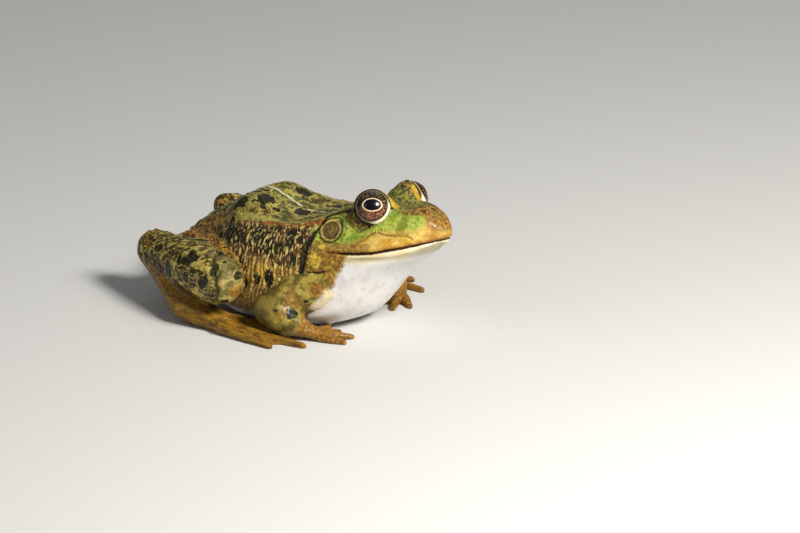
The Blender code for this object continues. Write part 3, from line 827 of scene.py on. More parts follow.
        inner = bump(oval(back, up, (26.3, 12.0), (2.4, 2.2)), 0, 1.0) * ease(20.5, 17.5, out)
        self.keep("rust", np.clip(np.maximum(np.maximum(rust, hand), inner), 0, 1))
        (throat,) = between(THROAT_EDGE, up)
        milk = ease(1.6, -1.6, back - 1.6 - throat + soft * 2.0) * ease(19.4, 16.2, out)
        self.keep("milk", milk * self.share(Limb.ARM, shift=0.5) * ease(5, 7.5, up))

    def lid_marks(self, points: Array) -> None:
        """Writes how far each place is from the edge of the nearest lids, and where lids are gold."""
        edge_away = np.full(len(points), NO_LID)
        gold, corner = np.zeros(len(points)), np.zeros(len(points))
        for eye in EYES:
            _, reach, past, high, fore = eye.around(points)
            near = reach < eye.radius + 1.1
            edge_away = np.where(near, np.minimum(edge_away, past), edge_away)
            front = ease(0.15, 0.65, fore) * ease(-0.35, 0.10, high) * ease(27, 12, past)
            gold = np.where(reach < eye.radius + 2.0, np.maximum(gold, front), gold)
            notch = oval(past, high, (6, -0.16), (4.5, 0.10))
            corner = np.where(near & (fore > 0.3), np.maximum(corner, bump(notch, 0, 1.0)), corner)
        self.keep("lid", np.clip(edge_away, -20, NO_LID))
        self.keep("lid_gold", gold)
        self.keep("corner", corner)


# ---- Materials ----------------------------------------------------------------------------------
class Flow:
    """One output of a shader node, with the sums of Python written as Math nodes."""

    def __init__(self, shader: "Shader", socket: Any) -> None:
        """Wraps a socket of the shader's tree."""
        self.shader = shader
        self.socket = socket

    def _sum(self, operation: str, *values: Any) -> "Flow":
        """A Math node of these values."""
        return self.shader.node("ShaderNodeMath", {"operation": operation}, *values)

    def __add__(self, other: Any) -> "Flow":
        """Addition."""
        return self._sum("ADD", self, other)

    def __sub__(self, other: Any) -> "Flow":
        """Subtraction."""
        return self._sum("SUBTRACT", self, other)

    def __rsub__(self, other: Any) -> "Flow":
        """Subtraction from a number."""
        return self._sum("SUBTRACT", other, self)

    def __mul__(self, other: Any) -> "Flow":
        """Multiplication."""
        return self._sum("MULTIPLY", self, other)

    def __truediv__(self, other: Any) -> "Flow":
        """Division."""
        return self._sum("DIVIDE", self, other)

    def __pow__(self, other: Any) -> "Flow":
        """A power."""
        return self._sum("POWER", self, other)

    __radd__ = __add__
    __rmul__ = __mul__

    def most(self, other: Any) -> "Flow":
        """The larger of the two."""
        return self._sum("MAXIMUM", self, other)

    def step(self, low: float, high: float) -> "Flow":
        """A soft step from 0 at low to 1 at high, which may be the lower number."""
        flip = high < low
        ends = (high, low) if flip else (low, high)
        made = self.shader.node(
            "ShaderNodeMapRange", {"interpolation_type": "SMOOTHSTEP"}, self, *ends, 0.0, 1.0
        )
        return 1 - made if flip else made


Colour = tuple[float, float, float]


class Shader:
    """One material's node tree, with short ways to make its nodes."""

    def __init__(self, name: str) -> None:
        """Makes the material.

        Args:
            name: the material's name.
        """
        self.material = bpy.data.materials.new(name)
        self.material.use_nodes = True
        self.tree = self.material.node_tree
        self.surface = self.tree.nodes["Principled BSDF"]
        self.where = self.node("ShaderNodeTexCoord", {}, output="Object")

    def node(
        self, kind: str, settings: dict[str, Any], *values: Any, output: int | str = 0, **named: Any
    ) -> Flow:
        """Any node.

        Args:
            kind: the node's type.
            settings: its settings, which are set first.
            *values: numbers, colours or flows for its sockets, in order.
            output: the number or name of the output that is wanted.
            **named: the same for sockets by name, with _ for a space.

        Returns:
            The output.
        """
        made = self.tree.nodes.new(kind)
        for key, value in settings.items():
            setattr(made, key, value)
        sockets = [s for s in made.inputs if s.enabled]
        pairs = list(zip(sockets, values))
        pairs += [(made.inputs[key.replace("_", " ")], value) for key, value in named.items()]
        for socket, value in pairs:
            self.feed(socket, value)
        return Flow(self, made.outputs[output])

    def feed(self, socket: Any, value: Any) -> None:
        """Sets a socket to a number or colour, or links a flow to it."""
        if isinstance(value, Flow):
            self.tree.links.new(value.socket, socket)
        elif socket.type == "RGBA":
            socket.default_value = (*value, 1.0)
        else:
            socket.default_value = value

    def value(self, name: str) -> Flow:
        """A number stored in the mesh."""
        return self.node("ShaderNodeAttribute", {"attribute_name": name}, output="Fac")

    def noise(
        self, size: float, detail: float = 2.0, stretch: Colour | None = None, shift: float = 0.0
    ) -> Flow:
        """Cloudy noise with lumps of a size in millimetres, drawn out by stretch."""
        where = self.where
        if stretch or shift:
            settings = {"operation": "MULTIPLY_ADD"}
            where = self.node("ShaderNodeVectorMath", settings, where, stretch or (1, 1, 1), (shift,) * 3)
        return self.node("ShaderNodeTexNoise", {}, Vector=where, Scale=1 / (size * MM), Detail=detail)

    def cells(self, size: float, feature: str = "F1") -> Flow:
        """Distance from the middles of irregular cells of a size in millimetres."""
        scale = 1 / (size * MM)
        kind = "ShaderNodeTexVoronoi"
        return self.node(kind, {"feature": feature}, Vector=self.where, Scale=scale, output="Distance")

    def mix(self, share: Any, first: Any, second: Any) -> Flow:
        """A colour between two colours."""
        made = self.tree.nodes.new("ShaderNodeMix")
        made.data_type = "RGBA"
        sockets = {s.identifier: s for s in made.inputs}
        self.feed(sockets["Factor_Float"], share)
        self.feed(sockets["A_Color"], first)
        self.feed(sockets["B_Color"], second)
        return Flow(self, next(s for s in made.outputs if s.identifier == "Result_Color"))

    def set(self, **values: Any) -> None:
        """Sets or links sockets of the surface, with _ for a space in their names."""
        for key, value in values.items():
            self.feed(self.surface.inputs[key.replace("_", " ")], value)


@dataclass(frozen=True)
class Duo:
    """Two colours dealt out by a noise or a mark, from the first at low to the second at high."""

    first: Colour
    second: Colour
    low: float = 0.40
    high: float = 0.60


class SkinShader(Shader):
    """The skin's node tree, with the noises that its markings share."""

    def __init__(self, name: str) -> None:
        """Makes the material and its noises.

        Args:
            name: the material's name.
        """
        super().__init__(name)
        self.mottle = self.noise(2.6, 3.0)
        self.fine = self.noise(0.75, 2.0)
        self.grain = self.noise(0.33, 1.0)
        self.patch = self.noise(5.5, 2.0, shift=0.3)

    def dealt(self, duo: Duo, by: Flow) -> Flow:
        """The two colours of a duo, dealt out by a flow."""
        return self.mix(by.step(duo.low, duo.high), duo.first, duo.second)

    def ragged(self, name: str, fine: float = 0.0, mottle: float = 0.0) -> Flow:
        """A stored number, broken up by noise.

        Args:
            name: the name that the mesh stores it under.
            fine: how far the fine noise shifts it.
            mottle: how far the mottling shifts it.

        Returns:
            The shifted number.
        """
        made = self.value(name)
        for noise, share in ((self.mottle, mottle), (self.fine, fine)):
            if share:
                made = made + (noise - 0.5) * share
        return made


@dataclass(frozen=True)
class SkinFinish:
    """Colours and gloss of the moist skin."""

    olive: Colour = (0.042, 0.041, 0.010)
    leaf: Colour = (0.110, 0.115, 0.020)
    gold: Colour = (0.500, 0.290, 0.040)
    rust: Colour = (0.270, 0.090, 0.010)
    brown: Colour = (0.075, 0.036, 0.010)
    dark: Colour = (0.013, 0.011, 0.006)
    ridge: Colour = (0.420, 0.335, 0.080)
    white: Colour = (0.800, 0.785, 0.760)
    stripe: Colour = (0.560, 0.590, 0.360)
    back_green: Duo = Duo(olive, leaf, 0.42, 0.60)
    fold_red: Duo = Duo((0.070, 0.020, 0.009), (0.290, 0.095, 0.024), 0.36, 0.52)
    upper_flank: Duo = Duo((0.018, 0.011, 0.008), (0.090, 0.032, 0.015), 0.42, 0.60)
    low_flank: Duo = Duo((0.460, 0.265, 0.042), (0.600, 0.380, 0.070))
    wrinkles: Duo = Duo((0.590, 0.480, 0.150), (0.740, 0.560, 0.170), 0.20, 0.70)
    granules: Duo = Duo((0.330, 0.170, 0.032), (0.800, 0.620, 0.220), 0.56, 0.34)
    rump: Duo = Duo((0.024, 0.011, 0.006), (0.520, 0.280, 0.040), 0.46, 0.54)
    leg: Duo = Duo((0.065, 0.046, 0.014), (0.165, 0.125, 0.030), 0.36, 0.62)
    # painted shade under the shank, in the gap over the foot
    shank_seam: Duo = Duo((0.028, 0.010, 0.006), (0.120, 0.045, 0.014), 0.45, 0.60)
    thigh: Duo = Duo((0.026, 0.013, 0.006), (0.360, 0.175, 0.022), 0.44, 0.58)
    knee: Duo = Duo((0.135, 0.110, 0.026), (0.450, 0.360, 0.115))
    knee_front: Duo = Duo((0.330, 0.180, 0.038), (0.600, 0.480, 0.230))
    heel: Duo = Duo((0.034, 0.018, 0.008), (0.360, 0.215, 0.036), 0.44, 0.60)
    foot: Duo = Duo((0.110, 0.048, 0.009), (0.290, 0.152, 0.016), 0.30, 0.66)
    arm: Duo = Duo((0.095, 0.080, 0.014), (0.330, 0.250, 0.050))
    hand: Duo = Duo((0.170, 0.062, 0.009), (0.330, 0.165, 0.026), 0.44, 0.62)
    light_spot: Duo = Duo((0.340, 0.260, 0.040), (0.620, 0.500, 0.120))
    cheek: Duo = Duo((0.185, 0.260, 0.024), (0.350, 0.410, 0.065), 0.38, 0.60)
    # darker olive of the crown between the eyes, partly its own colour and partly painted shade
    crown: Duo = Duo((0.065, 0.065, 0.016), (0.230, 0.220, 0.045), 0.42, 0.60)
    cheek_gold: Duo = Duo(gold, (0.640, 0.460, 0.120), 0.40, 0.62)
    gold_top: Duo = Duo((0.190, 0.170, 0.034), (0.400, 0.330, 0.070))
    snout: Duo = Duo((0.390, 0.210, 0.038), (0.560, 0.370, 0.095), 0.35, 0.65)
    brow: Duo = Duo((0.030, 0.027, 0.016), (0.300, 0.180, 0.036), 0.42, 0.62)
    bridge: Duo = Duo((0.026, 0.015, 0.008), (0.290, 0.150, 0.028), 0.46, 0.62)
    tip: Duo = Duo((0.095, 0.042, 0.010), (0.400, 0.215, 0.040), 0.36, 0.64)
    lip: Duo = Duo((0.300, 0.120, 0.016), gold, 0.40, 0.62)
    lip_rear: Duo = Duo((0.120, 0.050, 0.012), (0.330, 0.200, 0.034))
    temple: Duo = Duo((0.050, 0.036, 0.011), (0.300, 0.210, 0.040))
    shoulder: Duo = Duo((0.060, 0.032, 0.009), (0.400, 0.250, 0.036), 0.40, 0.62)
    gland: Duo = Duo((0.250, 0.170, 0.022), (0.600, 0.430, 0.060), 0.35, 0.60)
    drum_ring: Duo = Duo((0.220, 0.150, 0.040), ridge)
    drum: Duo = Duo((0.210, 0.140, 0.034), (0.085, 0.052, 0.014), 0.15, 0.85)
    jaw: Duo = Duo((0.800, 0.740, 0.560), (0.760, 0.640, 0.360), 0.35, 0.65)
    lid: Duo = Duo((0.045, 0.032, 0.012), (0.300, 0.190, 0.038), 0.42, 0.62)
    lid_gold: Duo = Duo((0.520, 0.350, 0.032), (0.300, 0.190, 0.026), 0.45, 0.65)
    fold_top: Colour = (0.320, 0.285, 0.070)
    leg_green: Colour = (0.060, 0.060, 0.016)
    leg_dark: Colour = (0.030, 0.017, 0.008)
    knee_fleck: Colour = (0.080, 0.052, 0.014)
    knee_shade: Colour = (0.050, 0.040, 0.012)
    foot_fleck: Colour = (0.080, 0.056, 0.014)
    arm_rust: Colour = (0.170, 0.072, 0.012)
    elbow_shade: Colour = (0.065, 0.042, 0.010)
    blotch_green: Colour = (0.070, 0.075, 0.018)
    flank_ridge: Colour = (0.420, 0.340, 0.100)
    # painted shade along the crease behind the knee
    knee_seam: Colour = (0.045, 0.030, 0.012)
    cheek_fleck: Colour = (0.075, 0.085, 0.014)
    streak: Colour = (0.050, 0.028, 0.010)
    lip_crease: Colour = (0.090, 0.036, 0.010)
    throat_shade: Colour = (0.560, 0.500, 0.500)
    jaw_shade: Colour = (0.360, 0.310, 0.160)
    mouth: Colour = (0.040, 0.012, 0.003)
    eye_corner: Colour = (0.012, 0.008, 0.005)
    lid_edge: Colour = (0.012, 0.009, 0.006)

    def build(self) -> Any:
        """Makes the material.

        Returns:
            The material of the skin.
        """
        s = SkinShader("moist_skin")
        tall = s.noise(0.50, 1.0, stretch=(1.0, 0.5, 0.26))
        short = s.noise(0.55, 1.5, stretch=(1.0, 0.7, 0.6))
        low = s.value("depth").step(0.35, 0.60)
        strokes = tall * (1 - low) + short * low
        colour = self.back(s)
        line = strokes + 0.05 * s.value("wrinkle") + (s.fine - 0.5) * 0.2
        colour = self.flank(s, colour, line)
        colour = self.limbs(s, colour)
        colour = self.blotches(s, colour, line)
        colour = self.head(s, colour)
        colour = self.underside(s, colour)
        colour = self.lids(s, colour)
        pale = s.value("pale")
        speck = s.cells(0.9).step(0.24, 0.10) * s.fine.step(0.45, 0.62) * (1 - pale)
        colour = s.mix(speck * 0.5, colour, self.brown)
        s.set(Base_Color=colour, Roughness=(0.40 + 0.22 * s.grain) + 0.10 * pale)
        s.set(Specular_IOR_Level=0.13, Coat_Weight=0.24, Coat_Roughness=0.09, Coat_IOR=1.34)
        s.set(Subsurface_Weight=0.05, Subsurface_Radius=(1.0, 0.55, 0.3), Subsurface_Scale=0.7 * MM)
        height = s.fine * 0.4 + s.grain * 0.35 + s.cells(0.55) * 0.45 + strokes * s.value("flank") * 1.2
        height = height * (1 - 0.75 * pale)
        s.set(Normal=s.node("ShaderNodeBump", {}, Strength=0.7, Distance=0.16 * MM, Height=height))
        return s.material

    def back(self, s: SkinShader) -> Flow:
        """Olive, leaf green and brown of the back, with the pale stripe and the red-brown folds."""
        net = s.cells(2.3, "DISTANCE_TO_EDGE") + (s.fine - 0.5) * 0.25
        colour = s.dealt(self.back_green, s.mottle)
        colour = s.mix(s.patch.step(0.54, 0.66) * 0.6, colour, self.brown)
        colour = s.mix(net.step(0.14, 0.05) * s.mottle.step(0.38, 0.54) * 0.7, colour, self.ridge)
        colour = s.mix(s.fine.step(0.58, 0.70) * 0.5, colour, self.ridge)
        fold = s.ragged("fold", 0.5)
        above = fold.step(0.3, 0.7) * fold.step(2.3, 1.4) * s.fine.step(0.30, 0.45)
        colour = s.mix(above * 0.85, colour, self.fold_top)
        line = fold.step(-1.30, -0.70) * fold.step(0.60, 0.25)
        colour = s.mix(line * 0.95, colour, s.dealt(self.fold_red, s.fine))
        stripe = s.ragged("stripe", 0.55)
        colour = s.mix(stripe.step(0.75, 0.45) * 0.5, colour, self.olive)
        return s.mix(stripe.step(0.46, 0.18) * 0.95, colour, self.stripe)

    def flank(self, s: SkinShader, colour: Flow, line: Flow) -> Flow:
        """Dark flank with pale wrinkles, turning orange and pale downwards."""
        depth = s.value("depth") + (s.patch - 0.5) * 0.35
        lower = s.dealt(self.low_flank, s.fine)
        lower = s.mix((s.patch + (s.fine - 0.5) * 0.8).step(0.48, 0.40) * 0.6, lower, self.brown)
        base = s.mix(depth.step(0.30, 0.62), s.dealt(self.upper_flank, s.patch), lower)
        base = s.mix(line.step(0.54, 0.585) * 0.9, base, s.dealt(self.wrinkles, depth))
        bottom = s.dealt(self.granules, s.cells(0.66) + (s.fine - 0.5) * 0.30)
        base = s.mix((depth + (s.fine - 0.5) * 0.4).step(0.58, 0.76) * 0.9, base, bottom)
        slant = s.noise(0.85, 2.0, stretch=(0.9, 1.0, 0.35), shift=0.1)
        rump = s.mix(s.fine.step(0.58, 0.70) * 0.6, s.dealt(self.rump, slant), self.ridge)
        colour = s.mix(s.value("rump") * 0.85, colour, rump)
        own = s.value("fold").step(-0.6, -1.1)
        return s.mix(s.value("flank") * own * (1 - s.value("rump") * 0.7), colour, base)

    def limbs(self, s: SkinShader, colour: Flow) -> Flow:
        """Arms, thighs, shanks and feet, with painted shade under the shank where it lies over the foot."""
        leg = s.dealt(self.leg, s.mottle)
        leg = s.mix(s.patch.step(0.50, 0.62) * 0.5, leg, self.leg_green)
        along = s.noise(0.62, 2.0, stretch=(0.35, 0.6, 1.0))
        strokes = along + (s.fine - 0.5) * 0.45
        leg = s.mix(strokes.step(0.53, 0.59) * 0.8, leg, self.ridge)
        leg = s.mix(strokes.step(0.46, 0.40) * 0.85, leg, self.leg_dark)
        # Painted shade on the underside of the shank, in the gap where it lies over the foot.
        under = (s.value("under_shank") + (along - 0.5) * 1.2).step(0.30, 0.60)
        leg = s.mix(under * 0.9, leg, s.dealt(self.shank_seam, s.fine))
        thigh = s.dealt(self.thigh, s.fine + (s.mottle - 0.5) * 0.5)
        leg = s.mix(s.value("thigh"), leg, thigh)
        knee = s.dealt(self.knee, s.mottle)
        knee = s.mix(s.fine.step(0.58, 0.70) * 0.5, knee, self.knee_fleck)
        leg = s.mix(s.value("knee"), leg, knee)
        leg = s.mix(s.ragged("knee_top", 0.8).step(0.3, 0.8) * 0.65, leg, self.knee_shade)
        front = s.ragged("knee_front", 0.6, 0.9).step(0.30, 0.90)
        leg = s.mix(front * 0.55, leg, s.dealt(self.knee_front, s.fine))
        heel = s.dealt(self.heel, s.fine + (along - 0.5) * 0.6)
        leg = s.mix(s.ragged("heel", mottle=0.6).step(0.25, 0.85) * 0.8, leg, heel)
        colour = s.mix(s.value("leg"), colour, leg)
        streak = s.noise(0.8, 2.0, stretch=(0.16, 0.8, 1.0))
        foot = s.dealt(self.foot, streak)
        foot = s.mix(s.mottle.step(0.56, 0.70) * 0.5, foot, self.foot_fleck)
        foot = s.mix(s.fine.step(0.60, 0.74) * 0.6, foot, self.ridge)
        colour = s.mix(s.value("foot"), colour, foot)
        arm = s.dealt(self.arm, s.mottle)
        arm = s.mix(s.patch.step(0.52, 0.64) * 0.6, arm, self.arm_rust)
        arm = s.mix(s.fine.step(0.56, 0.70) * 0.5, arm, self.ridge)
        arm = s.mix(s.ragged("elbow", mottle=0.8).step(0.3, 0.9) * 0.6, arm, self.elbow_shade)
        colour = s.mix(s.value("arm"), colour, arm)
        rust = s.ragged("rust", 0.7).step(0.30, 0.75)
        return s.mix(rust * 0.85, colour, s.dealt(self.hand, s.fine))

    def blotches(self, s: SkinShader, colour: Flow, line: Flow) -> Flow:
        """Pale patches and dark blotches with a pale edge, and painted shade along the crease behind the
        knee.
        """
        light = s.ragged("light_spot", 0.7)
        colour = s.mix(light.step(0.0, 0.2) * 0.85, colour, s.dealt(self.light_spot, s.fine))
        rimless = 1 - 0.85 * s.value("flank").most(s.value("arm"))
        for name, hollow in (("limb_spot", 0.7), ("body_spot", 0.4)):
            spot = s.ragged(name, 0.9)
            rim = spot.step(-0.34, -0.06) * s.fine.step(0.35, 0.50)
            colour = s.mix(rim * rimless * 0.8, colour, self.ridge)
            inner = s.mix(s.fine.step(0.50, 0.62) * hollow, self.dark, self.blotch_green)
            colour = s.mix(spot.step(-0.02, 0.14), colour, inner)
        over = line.step(0.56, 0.61) * s.value("flank") * 0.55
        colour = s.mix(over, colour, self.flank_ridge)
        # Painted shade: a dark line along the crease behind the knee, where shade falls between the lobe
        # and the shank.
        border = s.ragged("knee_line", 0.6)
        return s.mix(border.step(0.75, 0.2) * 0.75, colour, self.knee_seam)

    def head(self, s: SkinShader, colour: Flow) -> Flow:
        """Green cheeks, golden snout and lip, the eardrum and the dark band behind it."""
        cheek = s.dealt(self.cheek, s.mottle)
        cheek = s.mix(s.patch.step(0.50, 0.64) * 0.7, cheek, self.leaf)
        speck = s.cells(1.3).step(0.30, 0.14) * s.mottle.step(0.38, 0.52)
        cheek = s.mix(speck * 0.75, cheek, self.brown)
        cheek = s.mix(s.fine.step(0.54, 0.66) * 0.55, cheek, self.cheek_fleck)
        # The crown between the eyes is darker: partly its own olive-brown, partly painted shade.
        cheek = s.mix(s.value("crown"), cheek, s.dealt(self.crown, s.fine))
        gold = s.dealt(self.cheek_gold, s.mottle)
        gold = s.mix(s.fine.step(0.56, 0.70) * 0.55, gold, self.rust)
        edge = s.ragged("over_gold", 1.4)
        gold = s.mix(edge.step(-2.2, -0.2) * 0.6, gold, s.dealt(self.gold_top, s.mottle))
        cheek = s.mix(edge.step(0.5, -0.3), cheek, gold)
        snout = s.ragged("snout", mottle=0.9).step(0.30, 0.80)
        cheek = s.mix(snout, cheek, s.dealt(self.snout, s.mottle))
        cheek = s.mix(s.value("brow") * 0.85, cheek, s.dealt(self.brow, s.fine))
        bridge = s.ragged("bridge", 0.8, 1.3).step(0.30, 0.85)
        cheek = s.mix(bridge * 0.9, cheek, s.dealt(self.bridge, s.fine))
        tip = s.ragged("tip_top", 0.4, 0.8).step(0.10, 0.95)
        cheek = s.mix(tip * 0.85, cheek, s.dealt(self.tip, s.fine))
        lip = s.ragged("over", 0.8).step(1.5, 0.3)
        cheek = s.mix(lip * 0.8, cheek, s.dealt(self.lip, s.mottle))
        corner = s.ragged("lip_rear", mottle=1.4).step(0.45, 0.75) * 0.75
        cheek = s.mix(corner, cheek, s.dealt(self.lip_rear, s.fine))
        temple = s.ragged("temple", 0.6).step(0.30, 0.70)
        cheek = s.mix(temple * 0.85, cheek, s.dealt(self.temple, s.fine))
        streak = s.ragged("streak", 0.5).step(0.55, 0.15) * s.mottle.step(0.34, 0.50)
        cheek = s.mix(streak * 0.8, cheek, self.streak)
        colour = s.mix(s.value("head"), colour, cheek)
        shoulder = s.dealt(self.shoulder, s.fine)
        colour = s.mix(s.value("shoulder") * (1 - s.value("head") * 0.4), colour, shoulder)
        colour = s.mix(s.ragged("gland", 0.5).step(0.25, 0.7), colour, s.dealt(self.gland, s.fine))
        crease = s.ragged("lip_crease", 0.25)
        colour = s.mix(crease.step(0.34, 0.05) * s.mottle.step(0.30, 0.50) * 0.75, colour, self.lip_crease)
        colour = s.mix(s.value("nose").step(1.35, 0.8), colour, self.dark)
        drum = s.ragged("drum", 0.06)
        colour = s.mix(drum.step(1.22, 1.10) * 0.9, colour, self.dark)
        colour = s.mix(drum.step(1.06, 0.98), colour, s.dealt(self.drum_ring, s.fine))
        inner = s.mix(s.fine.step(0.46, 0.62) * 0.75, s.dealt(self.drum, drum), self.brown)
        colour = s.mix(drum.step(0.90, 0.78), colour, inner)
        band = s.ragged("band", 0.9)
        dark = s.mix(s.fine.step(0.5, 0.7) * 0.6, self.dark, self.brown)
        return s.mix(band.step(1.35, 0.75) * 0.95, colour, dark)

    def underside(self, s: SkinShader, colour: Flow) -> Flow:
        """White throat and belly, the cream jaw and the dark line of the mouth."""
        pale = s.ragged("pale", 0.5, 0.6).step(0.15, 0.85)
        milk = s.ragged("milk", 0.5, 0.8).step(0.15, 1.05)
        jaw = s.value("over").step(-3.4, -1.4)
        throat = s.mix(s.mottle.step(0.50, 0.66) * 0.35, self.white, self.throat_shade)
        white = s.mix(jaw, throat, s.dealt(self.jaw, s.mottle))
        shade = s.ragged("jaw_crease", 0.4)
        white = s.mix(shade.step(0.95, 0.15) * 0.55, white, self.jaw_shade)
        colour = s.mix(pale.most(milk), colour, white)
        line = s.ragged("mouth", 0.25) + 0.10 * s.value("snout")
        return s.mix(line.step(0.46, 0.20), colour, self.mouth)

    def lids(self, s: SkinShader, colour: Flow) -> Flow:
        """Dark wet edge of the lids, with a yellow patch ahead of the eye."""
        past = s.value("lid")
        colour = s.mix(past.step(24, 14) * 0.8, colour, s.dealt(self.lid, s.fine))
        gold = s.ragged("lid_gold", 0.9).step(0.25, 0.75)
        colour = s.mix(gold * 0.9, colour, s.dealt(self.lid_gold, s.fine))
        colour = s.mix(s.value("corner").step(0.3, 0.6), colour, self.eye_corner)
        return s.mix(past.step(4.0, 2.0), colour, self.lid_edge)


@dataclass(frozen=True)
class EyeFinish:
    """The wet eye: an oval pupil with a pale gold ring, a dark and coppery iris and a pale rim, with the
    lids' shade painted on the eyeball beyond the iris.
    """

    pupil: tuple[float, float] = (0.435, 0.290)  # half axes, as shares of the eyeball's radius
    iris: float = 0.825
    black: Colour = (0.003, 0.003, 0.005)
    ring: Colour = (0.820, 0.660, 0.420)
    dark_iris: Colour = (0.020, 0.012, 0.009)
    brown_iris: Colour = (0.030, 0.010, 0.007)
    copper: Colour = (0.360, 0.130, 0.055)
    gold: Colour = (0.400, 0.260, 0.090)
    iris_edge: Colour = (0.014, 0.009, 0.007)
    # painted shade of the lids, on the eyeball beyond the iris
    outside: Colour = (0.040, 0.024, 0.014)
    dull_rim: Colour = (0.420, 0.330, 0.180)
    bright_rim: Colour = (0.900, 0.820, 0.640)

    def build(self, place: EyePlace) -> Any:
        """Makes the material of one eye.

        Args:
            place: where the eye sits and looks.

        Returns:
            The material.
        """
        s = Shader(f"wet_{place.node}")
        centre = tuple(-place.centre * MM)
        ray = s.node("ShaderNodeVectorMath", {"operation": "ADD"}, s.where, centre)
        along, rise = (
            s.node("ShaderNodeVectorMath", {"operation": "DOT_PRODUCT"}, ray, tuple(axis), output="Value")
            * (1 / (place.radius * MM))
            for axis in place.axes[:2]
        )
        if place.axes[0].x < 0:
            along = along * -1.0
        fine, flecks = s.noise(0.42, 3.0), s.noise(0.30, 1.5)
        pupil = self.length(along / self.pupil[0], rise / self.pupil[1]) + (fine - 0.5) * 0.05
        reach = self.length(along, rise) + (fine - 0.5) * 0.02
        copper = s.mix(fine.step(0.46, 0.60), self.brown_iris, self.copper)
        iris = s.mix((rise + (fine - 0.5) * 0.6).step(0.02, -0.26), self.dark_iris, copper)
        gold = flecks.step(0.56, 0.64) * reach.step(0.40, 0.60) * (rise + 0.5 * along).step(-0.05, 0.30)
        iris = s.mix(gold * 0.85, iris, self.gold)
        iris = s.mix(reach.step(self.iris - 0.09, self.iris - 0.01), iris, self.iris_edge)
        low_front = (along * 0.80 - rise * 0.60).step(0.30, 0.80)
        rim = s.mix(low_front, self.dull_rim, self.bright_rim)
        inner = self.iris + 0.03 - 0.03 * low_front
        outer = self.iris + 0.06 + 0.075 * low_front
        on_rim = (reach - inner).step(-0.012, 0.012) * (reach - outer).step(0.014, -0.010)
        # Painted shade: beyond the iris the eyeball is darkened as if shaded by the lids.
        colour = s.mix(reach.step(self.iris, self.iris + 0.03), iris, self.outside)
        colour = s.mix(on_rim, colour, rim)
        ring = pupil.step(1.09, 1.14) * pupil.step(1.30, 1.24)
        colour = s.mix(ring, colour, self.ring)
        colour = s.mix(pupil.step(1.10, 1.03), colour, self.black)
        s.set(Base_Color=colour, Roughness=0.3, Coat_Weight=0.85, Coat_Roughness=0.03, Coat_IOR=1.36)
        s.set(Specular_IOR_Level=0.12)
        return s.material

    @staticmethod
    def length(first: Flow, second: Flow) -> Flow:
        """The length of two numbers at right angles."""
        return (first * first + second * second) ** 0.5


# ---- Pieces -------------------------------------------------------------------------------------
@dataclass
class Eye:
    """One wet eyeball with its cornea standing a little proud."""

    place: EyePlace
    cornea: float = 0.10  # how far its middle stands out
    cornea_edge: float = 58.0  # degrees from the gaze
    obj: Any = None

    def build(self) -> Any:
        """Models and dresses the eyeball.

        Returns:
            The finished object.
        """
        bpy.ops.object.select_all(action="DESELECT")
        turn = self.place.axes[2].to_track_quat("Z", "Y").to_euler()
        bpy.ops.mesh.primitive_uv_sphere_add(
            segments=96, ring_count=64, radius=self.place.radius * MM,
            location=self.place.centre * MM, rotation=turn,
        )
        self.obj = bpy.context.object
        self.obj.name = self.obj.data.name = f"wet_eye_{self.place.side.letter}"
        bpy.ops.object.transform_apply(location=True, rotation=True, scale=True)
        centre, look = self.place.centre * MM, self.place.axes[2]
        for vert in self.obj.data.vertices:
            ray = vert.co - centre
            angle = math.degrees(ray.angle(look))
            swell = max(1 - (angle / self.cornea_edge) ** 2, 0.0) ** 2
            vert.co = centre + ray * (1 + swell * self.cornea / self.place.radius)
        bpy.ops.object.shade_smooth()
        self.obj.data.materials.append(EyeFinish().build(self.place))
        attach(self.obj, BODY)
        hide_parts(self.place.node)
        return self.obj


@dataclass
class Coat:
    """The skin as a finished piece: modelled, dressed and put in place of the solids of flesh."""

    skin: Skin = field(default_factory=Skin)
    finish: SkinFinish = field(default_factory=SkinFinish)

    def build(self) -> Any:
        """Models and dresses the skin.

        Returns:
            The finished object.
        """
        obj = self.skin.build()
        obj.data.materials.append(self.finish.build())
        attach(obj, BODY)
        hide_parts(*self.skin.flesh)
        return obj


# ---- Studio -------------------------------------------------------------------------------------
@dataclass(frozen=True)
class Softbox:
    """A square soft light at a distance from the frog, looking at it, in metres and watts."""

    name: str
    towards: tuple[float, float, float]
    away: float
    size: float
    power: float
    tone: Colour = (1.0, 1.0, 1.0)

    def build(self, target: Vector) -> None:
        """Adds the light."""
        data = bpy.data.lights.new(self.name, "AREA")
        data.size = self.size
        data.energy = self.power
        data.color = self.tone
        lamp = bpy.data.objects.new(self.name, data)
        way = Vector(self.towards).normalized()
        lamp.location = target + way * self.away
        lamp.rotation_euler = way.to_track_quat("Z", "Y").to_euler()
        bpy.context.scene.collection.objects.link(lamp)


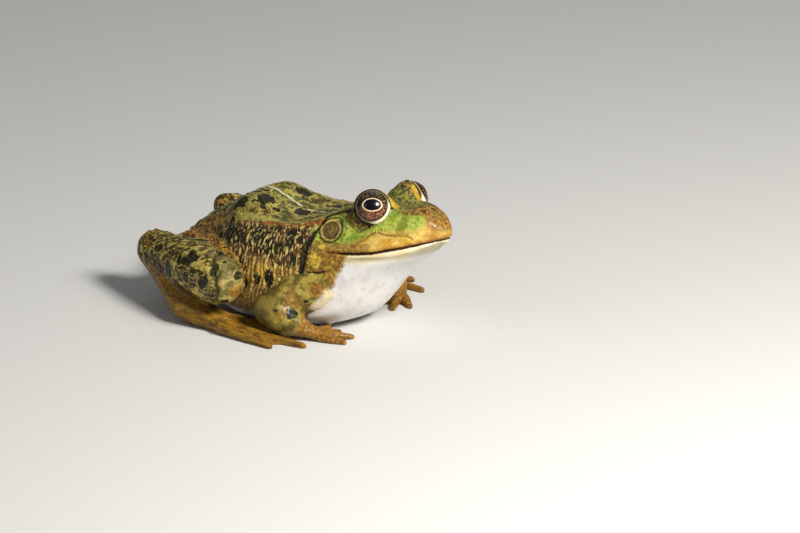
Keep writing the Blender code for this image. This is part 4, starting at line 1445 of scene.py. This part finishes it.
@dataclass
class Studio:
    """Pale floor and backdrop, soft lights and the camera, with its places in millimetres."""

    aim: tuple[float, float, float] = (SNOUT - 22.1, 10.8, 11.0)
    camera: tuple[float, float, float] = (SNOUT + 1124.1, -1626.8, 701.0)
    lens: float = 400.0
    sensor: float = 36.0
    floor: float = 7.0  # metres, as the next three are
    wall_radius: float = 3.4
    wall_height: float = 2.6
    sunk: float = 0.01  # how far the wall reaches below the floor
    paper: Colour = (0.64, 0.64, 0.625)
    sky: Colour = (0.93, 0.95, 1.0)
    sky_strength: float = 0.16
    lights: tuple[Softbox, ...] = (
        Softbox("key", (0.86, -0.26, 0.80), 0.55, 0.14, 4.4, (1.0, 0.96, 0.90)),
        Softbox("fill", (-0.7, -1.0, 0.50), 0.70, 0.50, 0.70, (0.95, 0.98, 1.0)),
        Softbox("catch", (0.82, 0.0, 0.57), 0.60, 0.06, 0.30),
        Softbox("back", (-0.5, 0.9, 0.9), 0.70, 0.40, 0.25),
    )

    def build(self) -> None:
        """Sets the stage, the lights and the camera."""
        self.sweep()
        for light in self.lights:
            light.build(Vector(self.aim) * MM)
        data = bpy.data.cameras.new("Camera")
        data.lens = self.lens
        data.sensor_width = self.sensor
        data.clip_start, data.clip_end = 0.01, 20.0
        cam = bpy.data.objects.new("Camera", data)
        place, aim = Vector(self.camera) * MM, Vector(self.aim) * MM
        cam.location = place
        cam.rotation_euler = (aim - place).to_track_quat("-Z", "Y").to_euler()
        bpy.context.scene.collection.objects.link(cam)
        scene = bpy.context.scene
        scene.camera = cam
        scene.view_settings.view_transform = "Standard"
        world = scene.world or bpy.data.worlds.new("World")
        scene.world = world
        world.use_nodes = True
        glow = world.node_tree.nodes["Background"]
        glow.inputs["Color"].default_value = (*self.sky, 1.0)
        glow.inputs["Strength"].default_value = self.sky_strength

    def sweep(self) -> None:
        """A plain floor and, far off, a round wall of the same paper as its backdrop."""
        bpy.ops.object.select_all(action="DESELECT")
        bpy.ops.mesh.primitive_plane_add(size=self.floor, location=(0, 0, 0))
        floor = bpy.context.object
        floor.name = floor.data.name = "studio_floor"
        material = bpy.data.materials.new("pale_paper")
        material.use_nodes = True
        surface = material.node_tree.nodes["Principled BSDF"]
        surface.inputs["Base Color"].default_value = (*self.paper, 1.0)
        surface.inputs["Roughness"].default_value = 0.85
        surface.inputs["Specular IOR Level"].default_value = 0.1
        floor.data.materials.append(material)
        bpy.ops.mesh.primitive_cylinder_add(
            vertices=96, radius=self.wall_radius, depth=self.wall_height, end_fill_type="NOTHING",
            location=(0, 0, self.wall_height / 2 - self.sunk),
        )
        backdrop = bpy.context.object
        backdrop.name = backdrop.data.name = "studio_backdrop"
        backdrop.data.materials.append(material)
        for obj in (floor, backdrop):
            for polygon in obj.data.polygons:
                polygon.use_smooth = True


def main() -> None:
    """Builds every piece and the studio."""
    logging.basicConfig(level=logging.INFO, format="%(name)s: %(message)s")
    coat = Coat().build()
    LOG.info("%s: %d faces", coat.name, len(coat.data.polygons))
    for place in EYES:
        eye = Eye(place).build()
        LOG.info("%s: %d faces", eye.name, len(eye.data.polygons))
    Studio().build()


if __name__ == "__main__":
    main()
